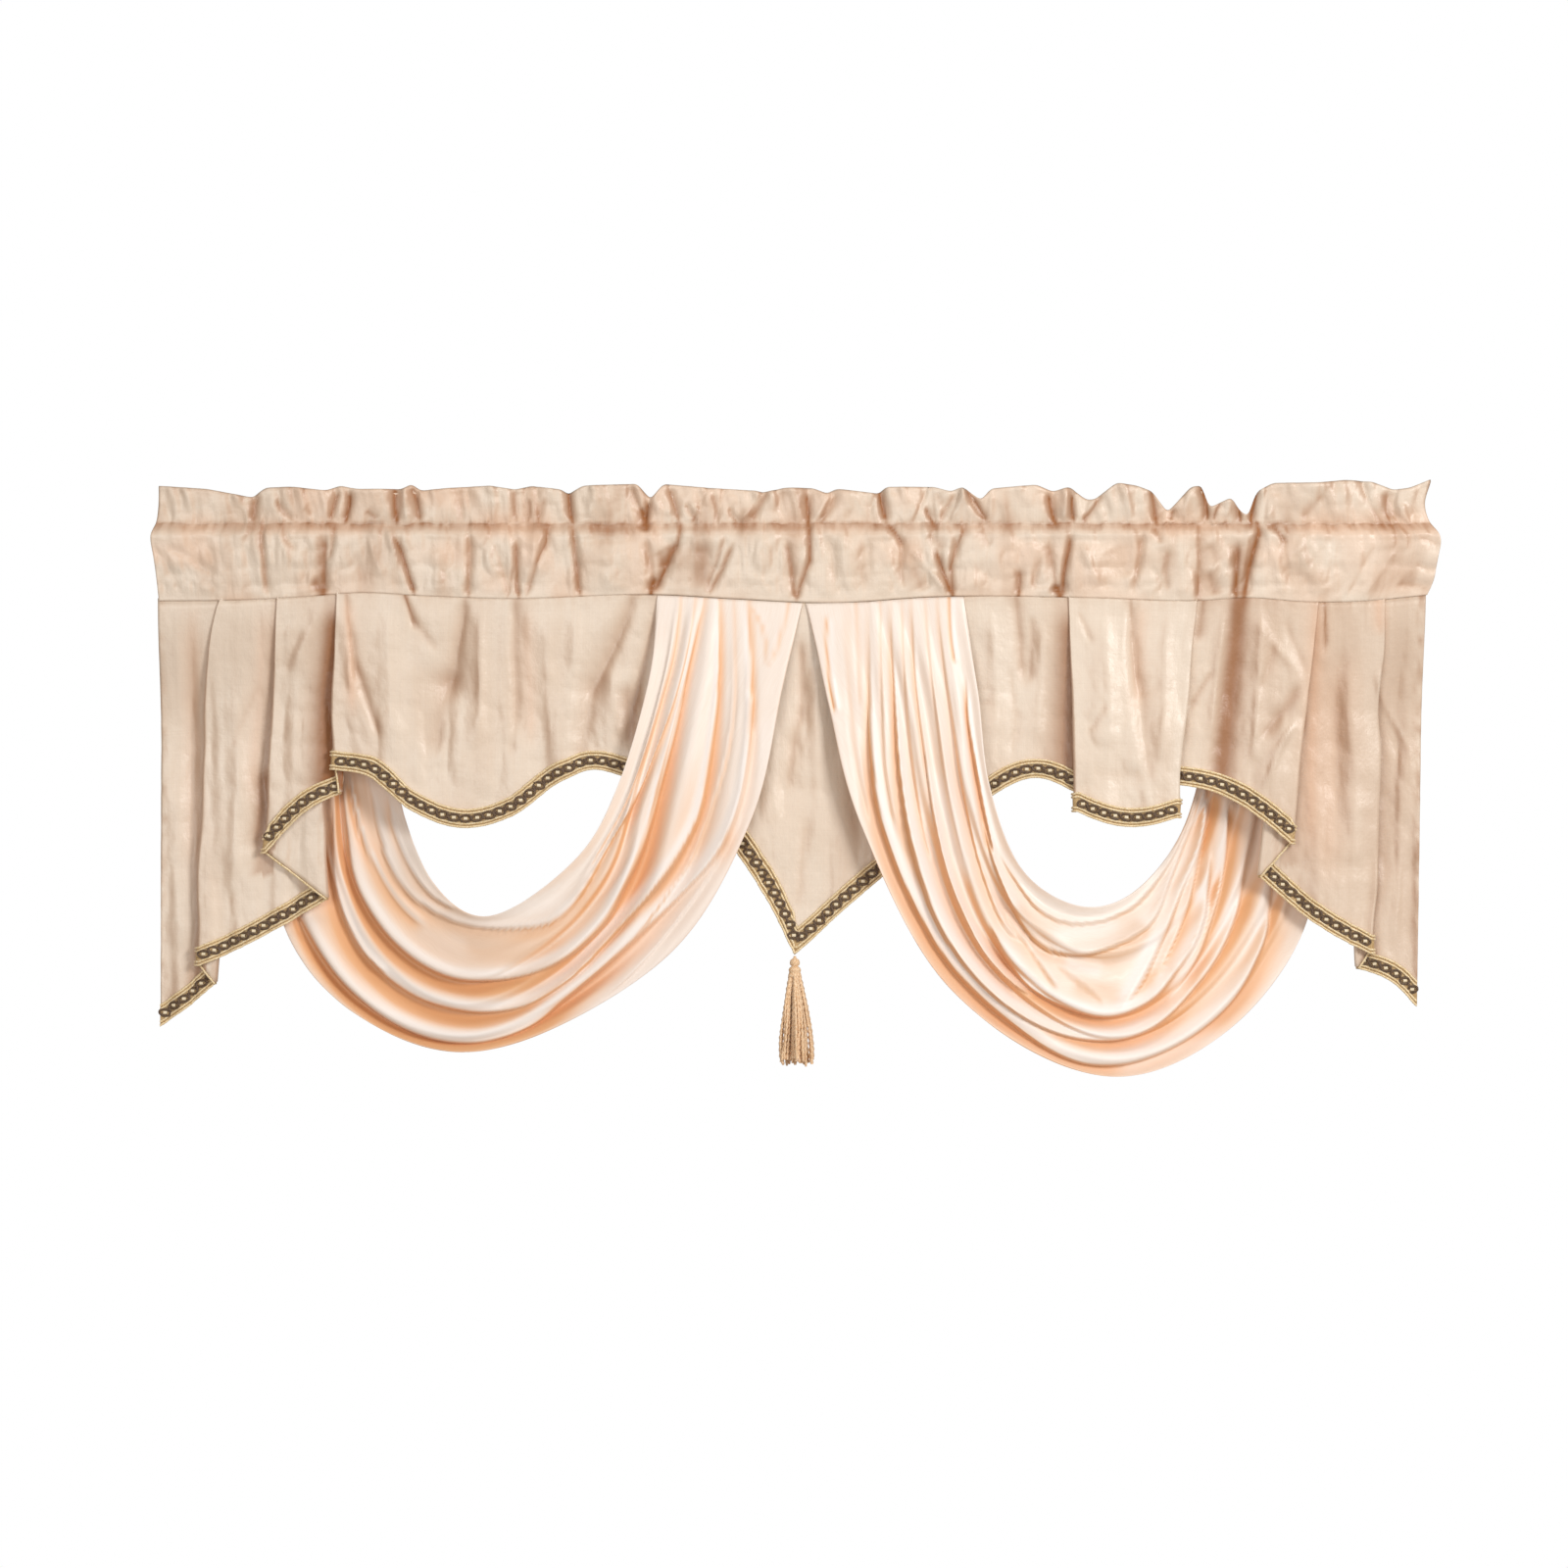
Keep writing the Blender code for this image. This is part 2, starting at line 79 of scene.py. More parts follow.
# The swags' edges at stations of their length, and the lines of their folds.
STATIONS = (0.0, 0.12, 0.24, 0.36, 0.5, 0.62, 0.72, 0.85, 1.0)
LEFT_UPPER = ((-139, 77), (-150, 165), (-180, 270), (-220, 340), (-313, 400), (-370, 365), (-400, 300),
              (-414, 205), (-422, 77))
LEFT_LOWER = ((9, 77), (-12, 170), (-45, 303), (-130, 440), (-322, 537), (-450, 498), (-520, 420),
              (-542, 265), (-548, 77))
RIGHT_UPPER = ((173, 77), (188, 170), (198, 265), (230, 350), (298, 390), (355, 370), (398, 314),
               (427, 205), (440, 77))
RIGHT_LOWER = ((12, 77), (35, 185), (70, 310), (155, 468), (318, 562), (442, 517), (520, 422),
               (545, 265), (552, 77))
LINE_STATIONS = (0.0, 0.24, 0.5, 0.72, 1.0)
Line = collections.namedtuple("Line", "seam leg low rise tail out")
LEFT_LINES = rows(
    Line,
    (0.00, 0.03, 0.05, 0.05, 0.00, 0.9), (0.03, 0.00, 0.00, 0.00, 0.03, -0.3),
    (0.11, 0.08, 0.10, 0.20, 0.14, 0.4), (0.15, 0.12, 0.40, 0.42, 0.27, -0.7),
    (0.20, 0.16, 0.49, 0.47, 0.36, 0.8), (0.26, 0.23, 0.62, 0.52, 0.45, -0.8),
    (0.33, 0.33, 0.71, 0.61, 0.55, 1.0), (0.39, 0.46, 0.85, 0.82, 0.66, -0.9),
    (0.45, 0.64, 0.92, 0.89, 0.76, 0.9), (0.58, 0.82, 0.96, 0.945, 0.87, -0.3),
    (0.95, 1.00, 1.00, 1.00, 0.95, -0.6), (1.00, 0.97, 0.955, 0.95, 1.00, 1.3),
)
RIGHT_LINES = rows(
    Line,
    (0.00, 0.03, 0.05, 0.05, 0.00, 0.9), (0.03, 0.00, 0.00, 0.00, 0.03, -0.3),
    (0.08, 0.08, 0.08, 0.12, 0.12, 0.5), (0.16, 0.16, 0.26, 0.26, 0.25, -0.6),
    (0.24, 0.22, 0.34, 0.34, 0.35, 0.7), (0.33, 0.30, 0.60, 0.46, 0.45, -0.8),
    (0.40, 0.38, 0.67, 0.53, 0.54, 1.0), (0.47, 0.47, 0.75, 0.66, 0.62, -0.8),
    (0.53, 0.55, 0.79, 0.73, 0.70, 0.9), (0.58, 0.68, 0.88, 0.82, 0.80, -0.9),
    (0.64, 0.85, 0.94, 0.88, 0.89, 0.3), (0.95, 1.00, 1.00, 1.00, 0.95, -0.6),
    (1.00, 0.97, 0.96, 0.95, 1.00, 1.2),
)
SWAG_DEPTH_AT = (0.0, 0.06, 0.24, 0.5, 0.62, 0.72, 0.85, 0.95, 1.0)
LEFT_SWAG_Y = (-6.0, -11, -25, -18, 8, 34, 37, 16, 5.2)
RIGHT_SWAG_Y = (-6.0, -11, -25, -18, 6, 29, 31, 14, 5.2)
SWAG_FOLD_DEPTH = (0.7, 4, 9, 9, 7, 7, 6, 2.5, 0.7)

# The ruffle's edge: x and height over the rod line.
RUFFLE_EDGE = (
    (-652, 39), (-601, 35.5), (-553, 27), (-539, 37), (-512, 38), (-477, 34), (-463, 39), (-445, 35.5),
    (-399, 35.5), (-390, 41), (-381, 34), (-349, 37), (-310, 39), (-284, 35), (-268, 39), (-236, 35),
    (-231, 30), (-215, 39), (-160, 41), (-146, 25), (-133, 41), (-89, 37), (-38, 34), (-32, 32), (-9, 37),
    (19, 37), (34, 31), (43, 36), (87, 31), (94, 38), (143, 38), (160, 33), (172, 38), (191, 24), (201, 36),
    (247, 40), (264, 33), (281, 38), (298, 25), (307, 25), (329, 42), (350, 39), (366, 33), (381, 12),
    (387, 18), (405, 38), (417, 39), (423, 16), (446, 27), (456, 12), (464, 8), (472, 33), (489, 42),
    (534, 42), (564, 45), (591, 43), (615, 35), (632, 37), (652, 46),
)

# A fold of the cloth: where it starts and ends, its width, its push towards the wall, how much it shades the
# cloth, its width at the foot where that differs, and the side on which it ends sharply.
Crease = collections.namedtuple(
    "Crease", "x_top z_top x_foot z_foot width push shade foot_width sharp", defaults=(0.0, 0.0, 0)
)


# Curves, noise and meshes.

def through(places, values, at):
    """A smooth curve through values at increasing places, read at the places in at."""
    places = np.asarray(places, float)
    values = np.asarray(values, float)
    at = np.clip(np.asarray(at, float), places[0], places[-1])
    slopes = np.gradient(values, places, axis=0)
    i = np.clip(np.searchsorted(places, at, side="right") - 1, 0, len(places) - 2)
    span = places[i + 1] - places[i]
    f = (at - places[i]) / span
    if values.ndim > 1:
        f = f[:, None]
        span = span[:, None]
    start = (1 + 2 * f) * (1 - f) ** 2 * values[i] + f * (1 - f) ** 2 * span * slopes[i]
    end = f * f * (3 - 2 * f) * values[i + 1] + f * f * (f - 1) * span * slopes[i + 1]
    return start + end


def eased(x, low, high):
    f = np.clip((x - low) / (high - low), 0, 1)
    return f * f * (3 - 2 * f)


def rumple(u, v, seed, size=64):
    """Smooth noise from -1 to 1 that changes over one unit of u and of v."""
    lattice = np.random.default_rng(seed).uniform(-1, 1, (size, size))
    iu, iv = np.floor(u).astype(int), np.floor(v).astype(int)
    fu, fv = u - iu, v - iv
    fu = fu * fu * fu * (fu * (fu * 6 - 15) + 10)
    fv = fv * fv * fv * (fv * (fv * 6 - 15) + 10)
    a = lattice[iu % size, iv % size]
    b = lattice[(iu + 1) % size, iv % size]
    c = lattice[iu % size, (iv + 1) % size]
    d = lattice[(iu + 1) % size, (iv + 1) % size]
    return (a * (1 - fu) + b * fu) * (1 - fv) + (c * (1 - fu) + d * fu) * fv


def crumple(u, v, seed):
    """Noise with sharp ridges, as in crisp cloth, from -1 to 1."""
    total = 0
    for k, share in enumerate((0.6, 0.4)):
        total = total + share * (1 - 2 * np.abs(rumple(u * 1.9 ** k + 7 * k, v * 1.9 ** k, seed + k)) ** 0.8)
    return total


def normals_of(points):
    along = np.gradient(points, axis=1)
    down = np.gradient(points, axis=0)
    across = np.cross(down, along)
    return across / np.maximum(np.linalg.norm(across, axis=2, keepdims=True), 1e-9)


def lengths_of(points, axis):
    """How far each point lies along its row or column, in millimetres."""
    step = np.linalg.norm(np.diff(points, axis=axis), axis=2)
    start = np.zeros_like(np.take(step, [0], axis=axis))
    return np.concatenate([start, np.cumsum(step, axis=axis)], axis=axis)


def mesh_from(name, verts, faces, material, uvs=None, fields=None):
    mesh = bpy.data.meshes.new(name)
    mesh.vertices.add(len(verts))
    mesh.vertices.foreach_set("co", (np.asarray(verts, float) * MM).ravel())
    faces = np.asarray(faces)
    count, sides = faces.shape
    mesh.loops.add(count * sides)
    mesh.loops.foreach_set("vertex_index", faces.ravel())
    mesh.polygons.add(count)
    mesh.polygons.foreach_set("loop_start", np.arange(count) * sides)
    mesh.update(calc_edges=True)
    if uvs is not None:
        layer = mesh.uv_layers.new(name="cloth")
        layer.data.foreach_set("uv", uvs[faces.ravel()].ravel())
    for field, values in (fields or {}).items():
        made = mesh.attributes.new(field, "FLOAT", "POINT")
        made.data.foreach_set("value", np.asarray(values, float).ravel())
    mesh.validate()
    mesh.shade_smooth()
    mesh.materials.append(material)
    made = bpy.data.objects.new(name, mesh)
    bpy.context.scene.collection.objects.link(made)
    return made


def grid_faces(count, columns, wrap_rows=False, wrap_columns=False):
    index = np.arange(count * columns).reshape(count, columns)
    if wrap_rows:
        index = np.concatenate([index, index[:1]])
    if wrap_columns:
        index = np.concatenate([index, index[:, :1]], axis=1)
    return np.stack([index[:-1, :-1], index[1:, :-1], index[1:, 1:], index[:-1, 1:]], axis=-1).reshape(-1, 4)


def cloth(name, points, material, thickness=CLOTH, fields=None, wrap_rows=False):
    """A cloth from a grid of points. Its UVs are metres along its threads."""
    count, columns = points.shape[:2]
    along = lengths_of(points, 1).mean(axis=0)
    down = lengths_of(points, 0)
    uvs = np.stack([np.broadcast_to(along, (count, columns)), down], axis=2).reshape(-1, 2) * MM
    faces = grid_faces(count, columns, wrap_rows)
    made = mesh_from(name, points.reshape(-1, 3), faces, material, uvs, fields)
    if thickness:
        solid = made.modifiers.new("thickness", "SOLIDIFY")
        solid.thickness = thickness * MM
        solid.offset = 0
    return made


SHADE_LEFT = 0.95
SHADE_DOWN = 0.4


def slope_shade(points):
    """The shade of slopes that face left or down, away from the window light."""
    out = normals_of(points)
    away = SHADE_LEFT * np.maximum(-out[:, :, 0] - 0.05, 0)
    away = away + SHADE_DOWN * np.maximum(-out[:, :, 2] - 0.12, 0)
    return np.clip(away, 0, 0.5)


def screened(shade, more):
    """Two shades from 0 to 1, one over the other."""
    return 1 - (1 - shade) * (1 - more)


CREASE_POWER = 1.45
CREASE_SHADE = 1.75
CREASE_BEND = 1.3
CORE_WIDTH = 0.45
WANDER = 0.45
WANDER_LONG = 13
RIDGE_AWAY = 1.9
RIDGE_SHARE = 0.24


def fold_field(x, z, creases, core_share=0.55, power=CREASE_POWER):
    """The push and the shade at x, z of soft creases, each a little bent and with a ridge on its left.

    core_share is how much of the shade lies in the crease's narrow middle.
    """
    shape = np.broadcast(x, z).shape
    push, clear = np.zeros(shape), np.ones(shape)
    for k, c in enumerate(creases):
        dx, dz = c.x_foot - c.x_top, c.z_foot - c.z_top
        long = math.hypot(dx, dz)
        along = ((x - c.x_top) * dx + (z - c.z_top) * dz) / long ** 2
        off = ((x - c.x_top) * -dz + (z - c.z_top) * dx) / long
        if core_share:
            off = off + CREASE_BEND * math.sin(2.4 * k + 0.7) * np.sin(math.pi * np.clip(along, 0, 1))
            off = off + WANDER * rumple(along * long / WANDER_LONG + 5.3 * k, 0.37 * k + 0 * along, 61)
        width = c.width + ((c.foot_width or c.width) - c.width) * np.clip(along, 0, 1)
        width = np.where(off * c.sharp > 0, width * 0.5, width)
        u = off / width
        ends = eased(along, -0.12, 0.16) * (1 - eased(along, 0.84, 1.12))
        near = np.exp(-np.abs(u) ** power)
        core = np.exp(-np.abs(u / CORE_WIDTH) ** 1.6)
        ridge = RIDGE_SHARE * np.exp(-(((u + RIDGE_AWAY) / 1.3) ** 2)) if c.push > 0 else 0
        push += c.push * (near - ridge) * ends
        part = core_share * min(max((10 - c.width) / 6, 0.1), 1)
        clear *= 1 - min(CREASE_SHADE * c.shade, 1) * ((1 - part) * near + part * core) * ends
    return push, 1 - clear


# A fold that sweeps along a swag: the places of its hollow, the widths of its lip and of its hollow, how far
# it stands out and how much painted warm shade it gets.
Sweep = collections.namedtuple("Sweep", "places crest width push warm", defaults=(0.5,))


def beside_path(x, drop, places):
    """How far each point lies below or outside a path, and where along it."""
    path = np.array(places, float)
    path = through(np.arange(len(path)), path, np.linspace(0, len(path) - 1, 4 * len(path)))
    best = np.full(x.shape, 1e9)
    off, along = np.zeros(x.shape), np.zeros(x.shape)
    for k in range(len(path) - 1):
        (ax, ad), (bx, bd) = path[k], path[k + 1]
        dx, dd = bx - ax, bd - ad
        long = math.hypot(dx, dd)
        f = np.clip(((x - ax) * dx + (drop - ad) * dd) / long ** 2, 0, 1)
        ox, od = x - ax - f * dx, drop - ad - f * dd
        away = np.hypot(ox, od)
        side = np.sign(dx * (drop - ad) - dd * (x - ax))
        closer = away < best
        best = np.where(closer, away, best)
        off = np.where(closer, away * side, off)
        along = np.where(closer, (k + f) / (len(path) - 1), along)
    return off, along


LIP_FALL = 0.42
# How small the folds are near the seam, as a share of their size low down.
SMALLEST_SWEEP = 0.36
# How much painted warm shade lies along the fall under each lip, and how wide.
LINE_GLOW = 0.24
LINE_WIDTH = 2.8


def sweep_field(x, drop, sweeps):
    """The push, the painted warm shade and the painted lip highlights of folds that sweep along a swag.

    Each fold is a lip, a steep fall under it and a slow rise.
    """
    push, warm, painted_highlight = np.zeros(x.shape), np.zeros(x.shape), np.zeros(x.shape)
    scale = SMALLEST_SWEEP + (1 - SMALLEST_SWEEP) * eased(drop, 150, 400)
    for s in sweeps:
        off, along = beside_path(x, drop, s.places)
        crest, width = np.maximum(s.crest * scale, 2.5), s.width * scale
        steep = np.maximum(LIP_FALL * crest, 1.7)
        lip = np.exp(-(((off + steep) / (0.55 * crest + 0.45 * width)) ** 2))
        fall = np.cos(math.pi * np.clip((off + steep) / steep, 0, 1))
        hollow = -np.exp(-((off / (1.35 * width)) ** 2))
        shape = np.where(off < -steep, lip, np.where(off < 0, fall, hollow))
        ends = eased(along, 0, 0.2) * (1 - eased(along, 0.9, 1))
        strength = s.push * (0.2 + 0.8 * eased(drop, 90, 260))
        push -= strength * shape * ends
        # Painted warm shade in the hollow under each lip, and a thin painted line of it along the fall.
        glow = eased(off, -0.9 * steep, -0.2 * steep) * (1 - eased(off, 0.4 * width, 2.6 * width)) ** 1.2
        line = np.exp(-(((off + 0.3 * steep) / LINE_WIDTH) ** 2))
        glow = (s.warm * (glow + 0.1 * line) + LINE_GLOW * line) * ends
        warm = np.maximum(warm, glow) + 0.3 * np.minimum(warm, glow)
        # Painted highlight along the edge of each lip.
        edge = np.exp(-(((off + 1.2 * steep + 0.6 * crest) / (0.5 * crest + 1.5)) ** 2))
        painted_highlight = np.maximum(painted_highlight, min(1, 1.6 * s.warm) * edge * ends)
    return push, warm, painted_highlight


# Materials.

def new_material(name):
    made = bpy.data.materials.new(name)
    made.use_nodes = True
    tree = made.node_tree
    return made, tree, tree.nodes["Principled BSDF"]


def feed(tree, made, inputs):
    """Link or set the named or numbered inputs of a node."""
    for key, value in inputs.items():
        if isinstance(value, bpy.types.NodeSocket):
            tree.links.new(value, made.inputs[key])
        else:
            made.inputs[key].default_value = value
    return made


def node(tree, kind, inputs=None, **settings):
    made = tree.nodes.new(kind)
    for key, value in settings.items():
        setattr(made, key, value)
    return feed(tree, made, inputs or {})


def scaled_uv(tree, scale):
    uv = node(tree, "ShaderNodeUVMap", uv_map="cloth")
    return node(tree, "ShaderNodeMapping", {"Vector": uv.outputs[0], "Scale": scale}).outputs[0]


def noise(tree, vector, scale, detail=2.0, roughness=0.5):
    inputs = {"Vector": vector, "Scale": scale, "Detail": detail, "Roughness": roughness}
    return node(tree, "ShaderNodeTexNoise", inputs).outputs["Fac"]


def mixed(tree, factor, a, b):
    return node(tree, "ShaderNodeMix", {0: factor, 6: a, 7: b}, data_type="RGBA").outputs[2]


def ranged(tree, value, low, high, to_low, to_high):
    inputs = {"Value": value, "From Min": low, "From Max": high, "To Min": to_low, "To Max": to_high}
    return node(tree, "ShaderNodeMapRange", inputs).outputs[0]


def field(tree, name):
    return node(tree, "ShaderNodeAttribute", attribute_name=name).outputs["Fac"]


def added(tree, a, b):
    return node(tree, "ShaderNodeMath", {0: a, 1: b}, operation="ADD").outputs[0]


def bumped(tree, height, strength, distance):
    inputs = {"Height": height, "Strength": strength, "Distance": distance}
    return node(tree, "ShaderNodeBump", inputs).outputs[0]


CHAMPAGNE_DARK = (0.82, 0.70, 0.575, 1)
CHAMPAGNE_LIGHT = (0.87, 0.765, 0.645, 1)
CHAMPAGNE_BROAD = (0.80, 0.64, 0.49, 1)
CHAMPAGNE_PINK_TONE_AND_SHADE = (0.88, 0.63, 0.47, 1)
# Colours of the painted shade in the taffeta's creases, folds and cast shadows.
SHADE_BROWN = (0.56, 0.325, 0.175, 1)
SHADE_DEEP = (0.33, 0.125, 0.035, 1)
PEACH_DARK = (0.92, 0.80, 0.70, 1)
PEACH_LIGHT = (0.96, 0.87, 0.79, 1)
PEACH_GREY_SHADE = (0.76, 0.52, 0.35, 1)
PEACH_WARM_SHADE = (0.91, 0.55, 0.31, 1)
PEACH_DEEP_SHADE = (0.80, 0.42, 0.20, 1)
PEACH_HIGHLIGHT = (0.99, 0.94, 0.90, 1)


def taffeta():
    """Crisp champagne taffeta: fine plain weave, faint slubs, soft broken sheen, painted shade and a pink
    tone partly painted shade.
    """
    made, tree, shader = new_material("taffeta")
    slub = noise(tree, scaled_uv(tree, (10, 700, 1)), 1.0, 3.0, 0.6)
    cross = noise(tree, scaled_uv(tree, (700, 14, 1)), 1.0, 2.0, 0.5)
    broad = noise(tree, scaled_uv(tree, (11, 7, 1)), 1.0, 2.0, 0.5)
    crinkle = noise(tree, scaled_uv(tree, (110, 80, 1)), 1.0, 4.0, 0.62)
    threads = added(tree, ranged(tree, slub, 0.3, 0.7, 0, 0.5), ranged(tree, cross, 0.3, 0.7, 0, 0.5))
    colour = mixed(tree, threads, CHAMPAGNE_DARK, CHAMPAGNE_LIGHT)
    colour = mixed(tree, ranged(tree, broad, 0.35, 0.7, 0.0, 0.35), colour, CHAMPAGNE_BROAD)
    # Pink tone: at random on the heading, painted pink shade along the folds and under the stitching.
    colour = mixed(tree, field(tree, "pink_tone_and_shade"), colour, CHAMPAGNE_PINK_TONE_AND_SHADE)
    # Painted shade: darker and browner where the shade attribute marks creases, folds and cast shadows.
    dark = ranged(tree, field(tree, "shade"), 0, 0.92, 0, 1)
    deep = mixed(tree, ranged(tree, dark, 0.15, 0.8, 0, 1), SHADE_BROWN, SHADE_DEEP)
    height = added(tree, ranged(tree, slub, 0, 1, 0, 0.10), ranged(tree, cross, 0, 1, 0, 0.10))
    height = added(tree, height, ranged(tree, crinkle, 0, 1, 0, 1.5))
    feed(tree, shader, {
        "Base Color": mixed(tree, dark, colour, deep),
        "Roughness": ranged(tree, crinkle, 0.3, 0.7, 0.31, 0.45),
        "Normal": bumped(tree, height, 0.5, 0.0011),
        "Specular IOR Level": 0.5,
        "Sheen Weight": 0.2,
        "Sheen Roughness": 0.35,
        "Sheen Tint": (1.0, 0.93, 0.86, 1),
    })
    return made


def satin():
    """Pale peach satin, smooth and glossy: painted warm shade in a fold, painted grey shade where flat,
    painted highlights.
    """
    made, tree, shader = new_material("satin")
    fine = noise(tree, scaled_uv(tree, (40, 1400, 1)), 1.0, 2.0, 0.5)
    crinkle = noise(tree, scaled_uv(tree, (12, 60, 1)), 1.0, 3.0, 0.6)
    colour = mixed(tree, ranged(tree, fine, 0.3, 0.7, 0, 1), PEACH_DARK, PEACH_LIGHT)
    # Painted grey shade where the satin lies flat.
    colour = mixed(tree, field(tree, "grey_shade"), colour, PEACH_GREY_SHADE)
    # Painted warm shade deep in the folds.
    warm = field(tree, "warm")
    glow = mixed(tree, ranged(tree, warm, 0.5, 1.0, 0, 1), PEACH_WARM_SHADE, PEACH_DEEP_SHADE)
    colour = mixed(tree, ranged(tree, warm, 0, 0.8, 0, 1), colour, glow)
    height = added(tree, ranged(tree, fine, 0, 1, 0, 0.06), ranged(tree, crinkle, 0, 1, 0, 1.3))
    # Painted highlights on the lips and on the pale stretches.
    feed(tree, shader, {
        "Base Color": mixed(tree, field(tree, "painted_highlight"), colour, PEACH_HIGHLIGHT),
        "Roughness": ranged(tree, crinkle, 0.3, 0.7, 0.36, 0.50),
        "Normal": bumped(tree, height, 0.4, 0.001),
        "Specular IOR Level": 0.5,
        "Sheen Weight": 0.3,
        "Sheen Roughness": 0.3,
        "Sheen Tint": (1.0, 0.95, 0.90, 1),
    })
    return made


def yarn(name, dark, light, roughness, scale, metallic=0.0):
    """Twisted silky yarn."""
    made, tree, shader = new_material(name)
    place = node(tree, "ShaderNodeTexCoord").outputs["Object"]
    grain = noise(tree, place, scale, 2.0, 0.6)
    feed(tree, shader, {
        "Base Color": mixed(tree, ranged(tree, grain, 0.35, 0.65, 0, 1), dark, light),
        "Roughness": ranged(tree, grain, 0.3, 0.7, roughness, roughness + 0.15),
        "Normal": bumped(tree, grain, 0.35, 0.0004),
        "Sheen Weight": 0.3,
        "Metallic": metallic,
    })
    return made


TAFFETA = taffeta()
SATIN = satin()
GROUND = yarn("braid_ground", (0.42, 0.26, 0.10, 1), (0.70, 0.50, 0.25, 1), 0.5, 900)
GOLD = yarn("gold_cord", (0.68, 0.47, 0.20, 1), (0.99, 0.86, 0.60, 1), 0.30, 900, 0.1)
CREAM = yarn("cream_yarn", (0.80, 0.66, 0.42, 1), (0.95, 0.85, 0.64, 1), 0.35, 900)
BROWN = yarn("brown_ring", (0.05, 0.025, 0.011, 1), (0.17, 0.095, 0.042, 1), 0.38, 900)
TASSEL = yarn("tassel_yarn", (0.72, 0.43, 0.21, 1), (0.99, 0.76, 0.51, 1), 0.34, 700)


# The panel.

Columns = collections.namedtuple("Columns", "seam_x hem_x drop layer pull")
PANEL_CREASES = rows(
    Crease,
    (-585, -95, -530, -71, 4, -1.5), (-548, -165, -575, -225, 5, 1.4, 0.10),
    (-547, -250, -552, -330, 9, 2, 0.32), (-565, -160, -575, -380, 14, -3),
    (-630, -85, -635, -365, 10, -2.5), (-615, -105, -620, -325, 7, 2, 0.08),
    (-480, -80, -510, -145, 6, -2.6), (-520, -115, -498, -93, 3, -1.6), (-512, -92, -496, -84, 3, -1.3),
    (-505, -110, -520, -150, 7, 1.5, 0.10), (-458, -70, -450, -165, 4, -3),
    (-457, -60, -446, -155, 4, 3.2, 0.26), (-446, -145, -424, -215, 4.5, 3, 0.20),
    (-398, -66, -385, -105, 4, 3.4, 0.45), (-386, -100, -362, -128, 5, 1.5, 0.14),
    (-333, -66, -350, -175, 5, 6, 0.22, 20, 1), (-350, -150, -364, -232, 24, 4, 0.20, 15, 1),
    (-318, -75, -323, -215, 7, -4.2), (-415, -85, -408, -230, 16, -3.5),
    (-283, -60, -284, -205, 9, 3.8, 0.22, 11, -1), (-284, -195, -289, -235, 8, 1.4, 0.06, 6, -1),
    (-252, -80, -248, -230, 12, -3.4), (-156, -60, -204, -172, 8, 5, 0.22, 15, 1),
    (-204, -160, -222, -246, 13, 4, 0.17, 9), (-185, -150, -178, -215, 8, -2.6),
    (-222, -80, -228, -200, 8, -2.6), (-168, -165, -171, -228, 10, 2, 0.26, 11),
    (-140, -85, -168, -220, 6, 1.5, 0.30), (5, -120, 6, -200, 5, 2.5, 0.24, 6),
    (6, -190, -6, -270, 6, 2.5, 0.20), (22, -150, 26, -330, 10, -3), (-22, -200, -26, -330, 9, -2.6),
    (12, -300, 4, -390, 6, 1.8, 0.12), (40, -170, 62, -320, 7, 1.5, 0.22),
    (227, -60, 232, -160, 7, 3.6, 0.26), (243, -95, 238, -160, 5, 2, 0.16), (200, -80, 205, -215, 8, -3.2),
    (254, -100, 248, -215, 6, -2.2), (219, -150, 226, -235, 4, 1.5, 0.10),
    (342, -66, 350, -170, 5, 4.2, 0.26, 12, -1), (352, -160, 364, -255, 13, 3.4, 0.13, 12, -1),
    (315, -80, 322, -230, 13, -3.4), (384, -85, 376, -230, 6, -2.6), (290, -90, 303, -120, 3, 1.6, 0.14),
    (316, -184, 298, -212, 3, 1.3, 0.12), (305, -254, 365, -256, 8, 1.5, 0.06),
    (418, -66, 412, -118, 7, 2.2, 0.30), (426, -150, 404, -186, 3, 1.6, 0.22),
    (441, -70, 422, -225, 4, -2.6), (476, -82, 468, -232, 7, -4), (480, -216, 516, -166, 7, 3.2, 0.24),
    (480, -268, 509, -208, 3, -2), (489, -236, 513, -204, 2.6, -1.6), (474, -104, 511, -146, 4, -1.8),
    (490, -118, 475, -168, 4, 1.5, 0.12), (486, -76, 512, -86, 3, -1.5),
    (500, -96, 521, -150, 4, 1.2, 0.08), (540, -66, 542, -128, 2.6, 2.2, 0.36),
    (595, -152, 630, -228, 3, -1.6), (594, -150, 616, -145, 2.6, 1.6, 0.26), (570, -150, 575, -370, 16, -3),
    (549, -150, 556, -330, 12, 1.5, 0.02), (600, -180, 604, -380, 9, 2.2, 0.07),
    (620, -240, 620, -420, 8, -2),
)
# Deep folds whose painted shade stays dark over their whole width.
PANEL_SHADED_FOLDS = rows(
    Crease,
    (457, -50, 432, -285, 11, 3.2, 0.44, 12.5),
)
# Painted pink shade along the panel's folds.
PANEL_PINK_SHADES = rows(
    Crease,
    (-455, -75, -448, -190, 6, 0, 0.5), (534, -70, 530, -330, 10, 0, 0.55),
    (595, -62, 598, -110, 7, 0, 0.45), (-612, -90, -618, -360, 9, 0, 0.3),
    (-272, -90, -268, -220, 8, 0, 0.3), (355, -80, 350, -190, 8, 0, 0.3),
    (560, -140, 545, -360, 16, 0, 0.3), (-540, -90, -556, -280, 8, 0, 0.3),
)
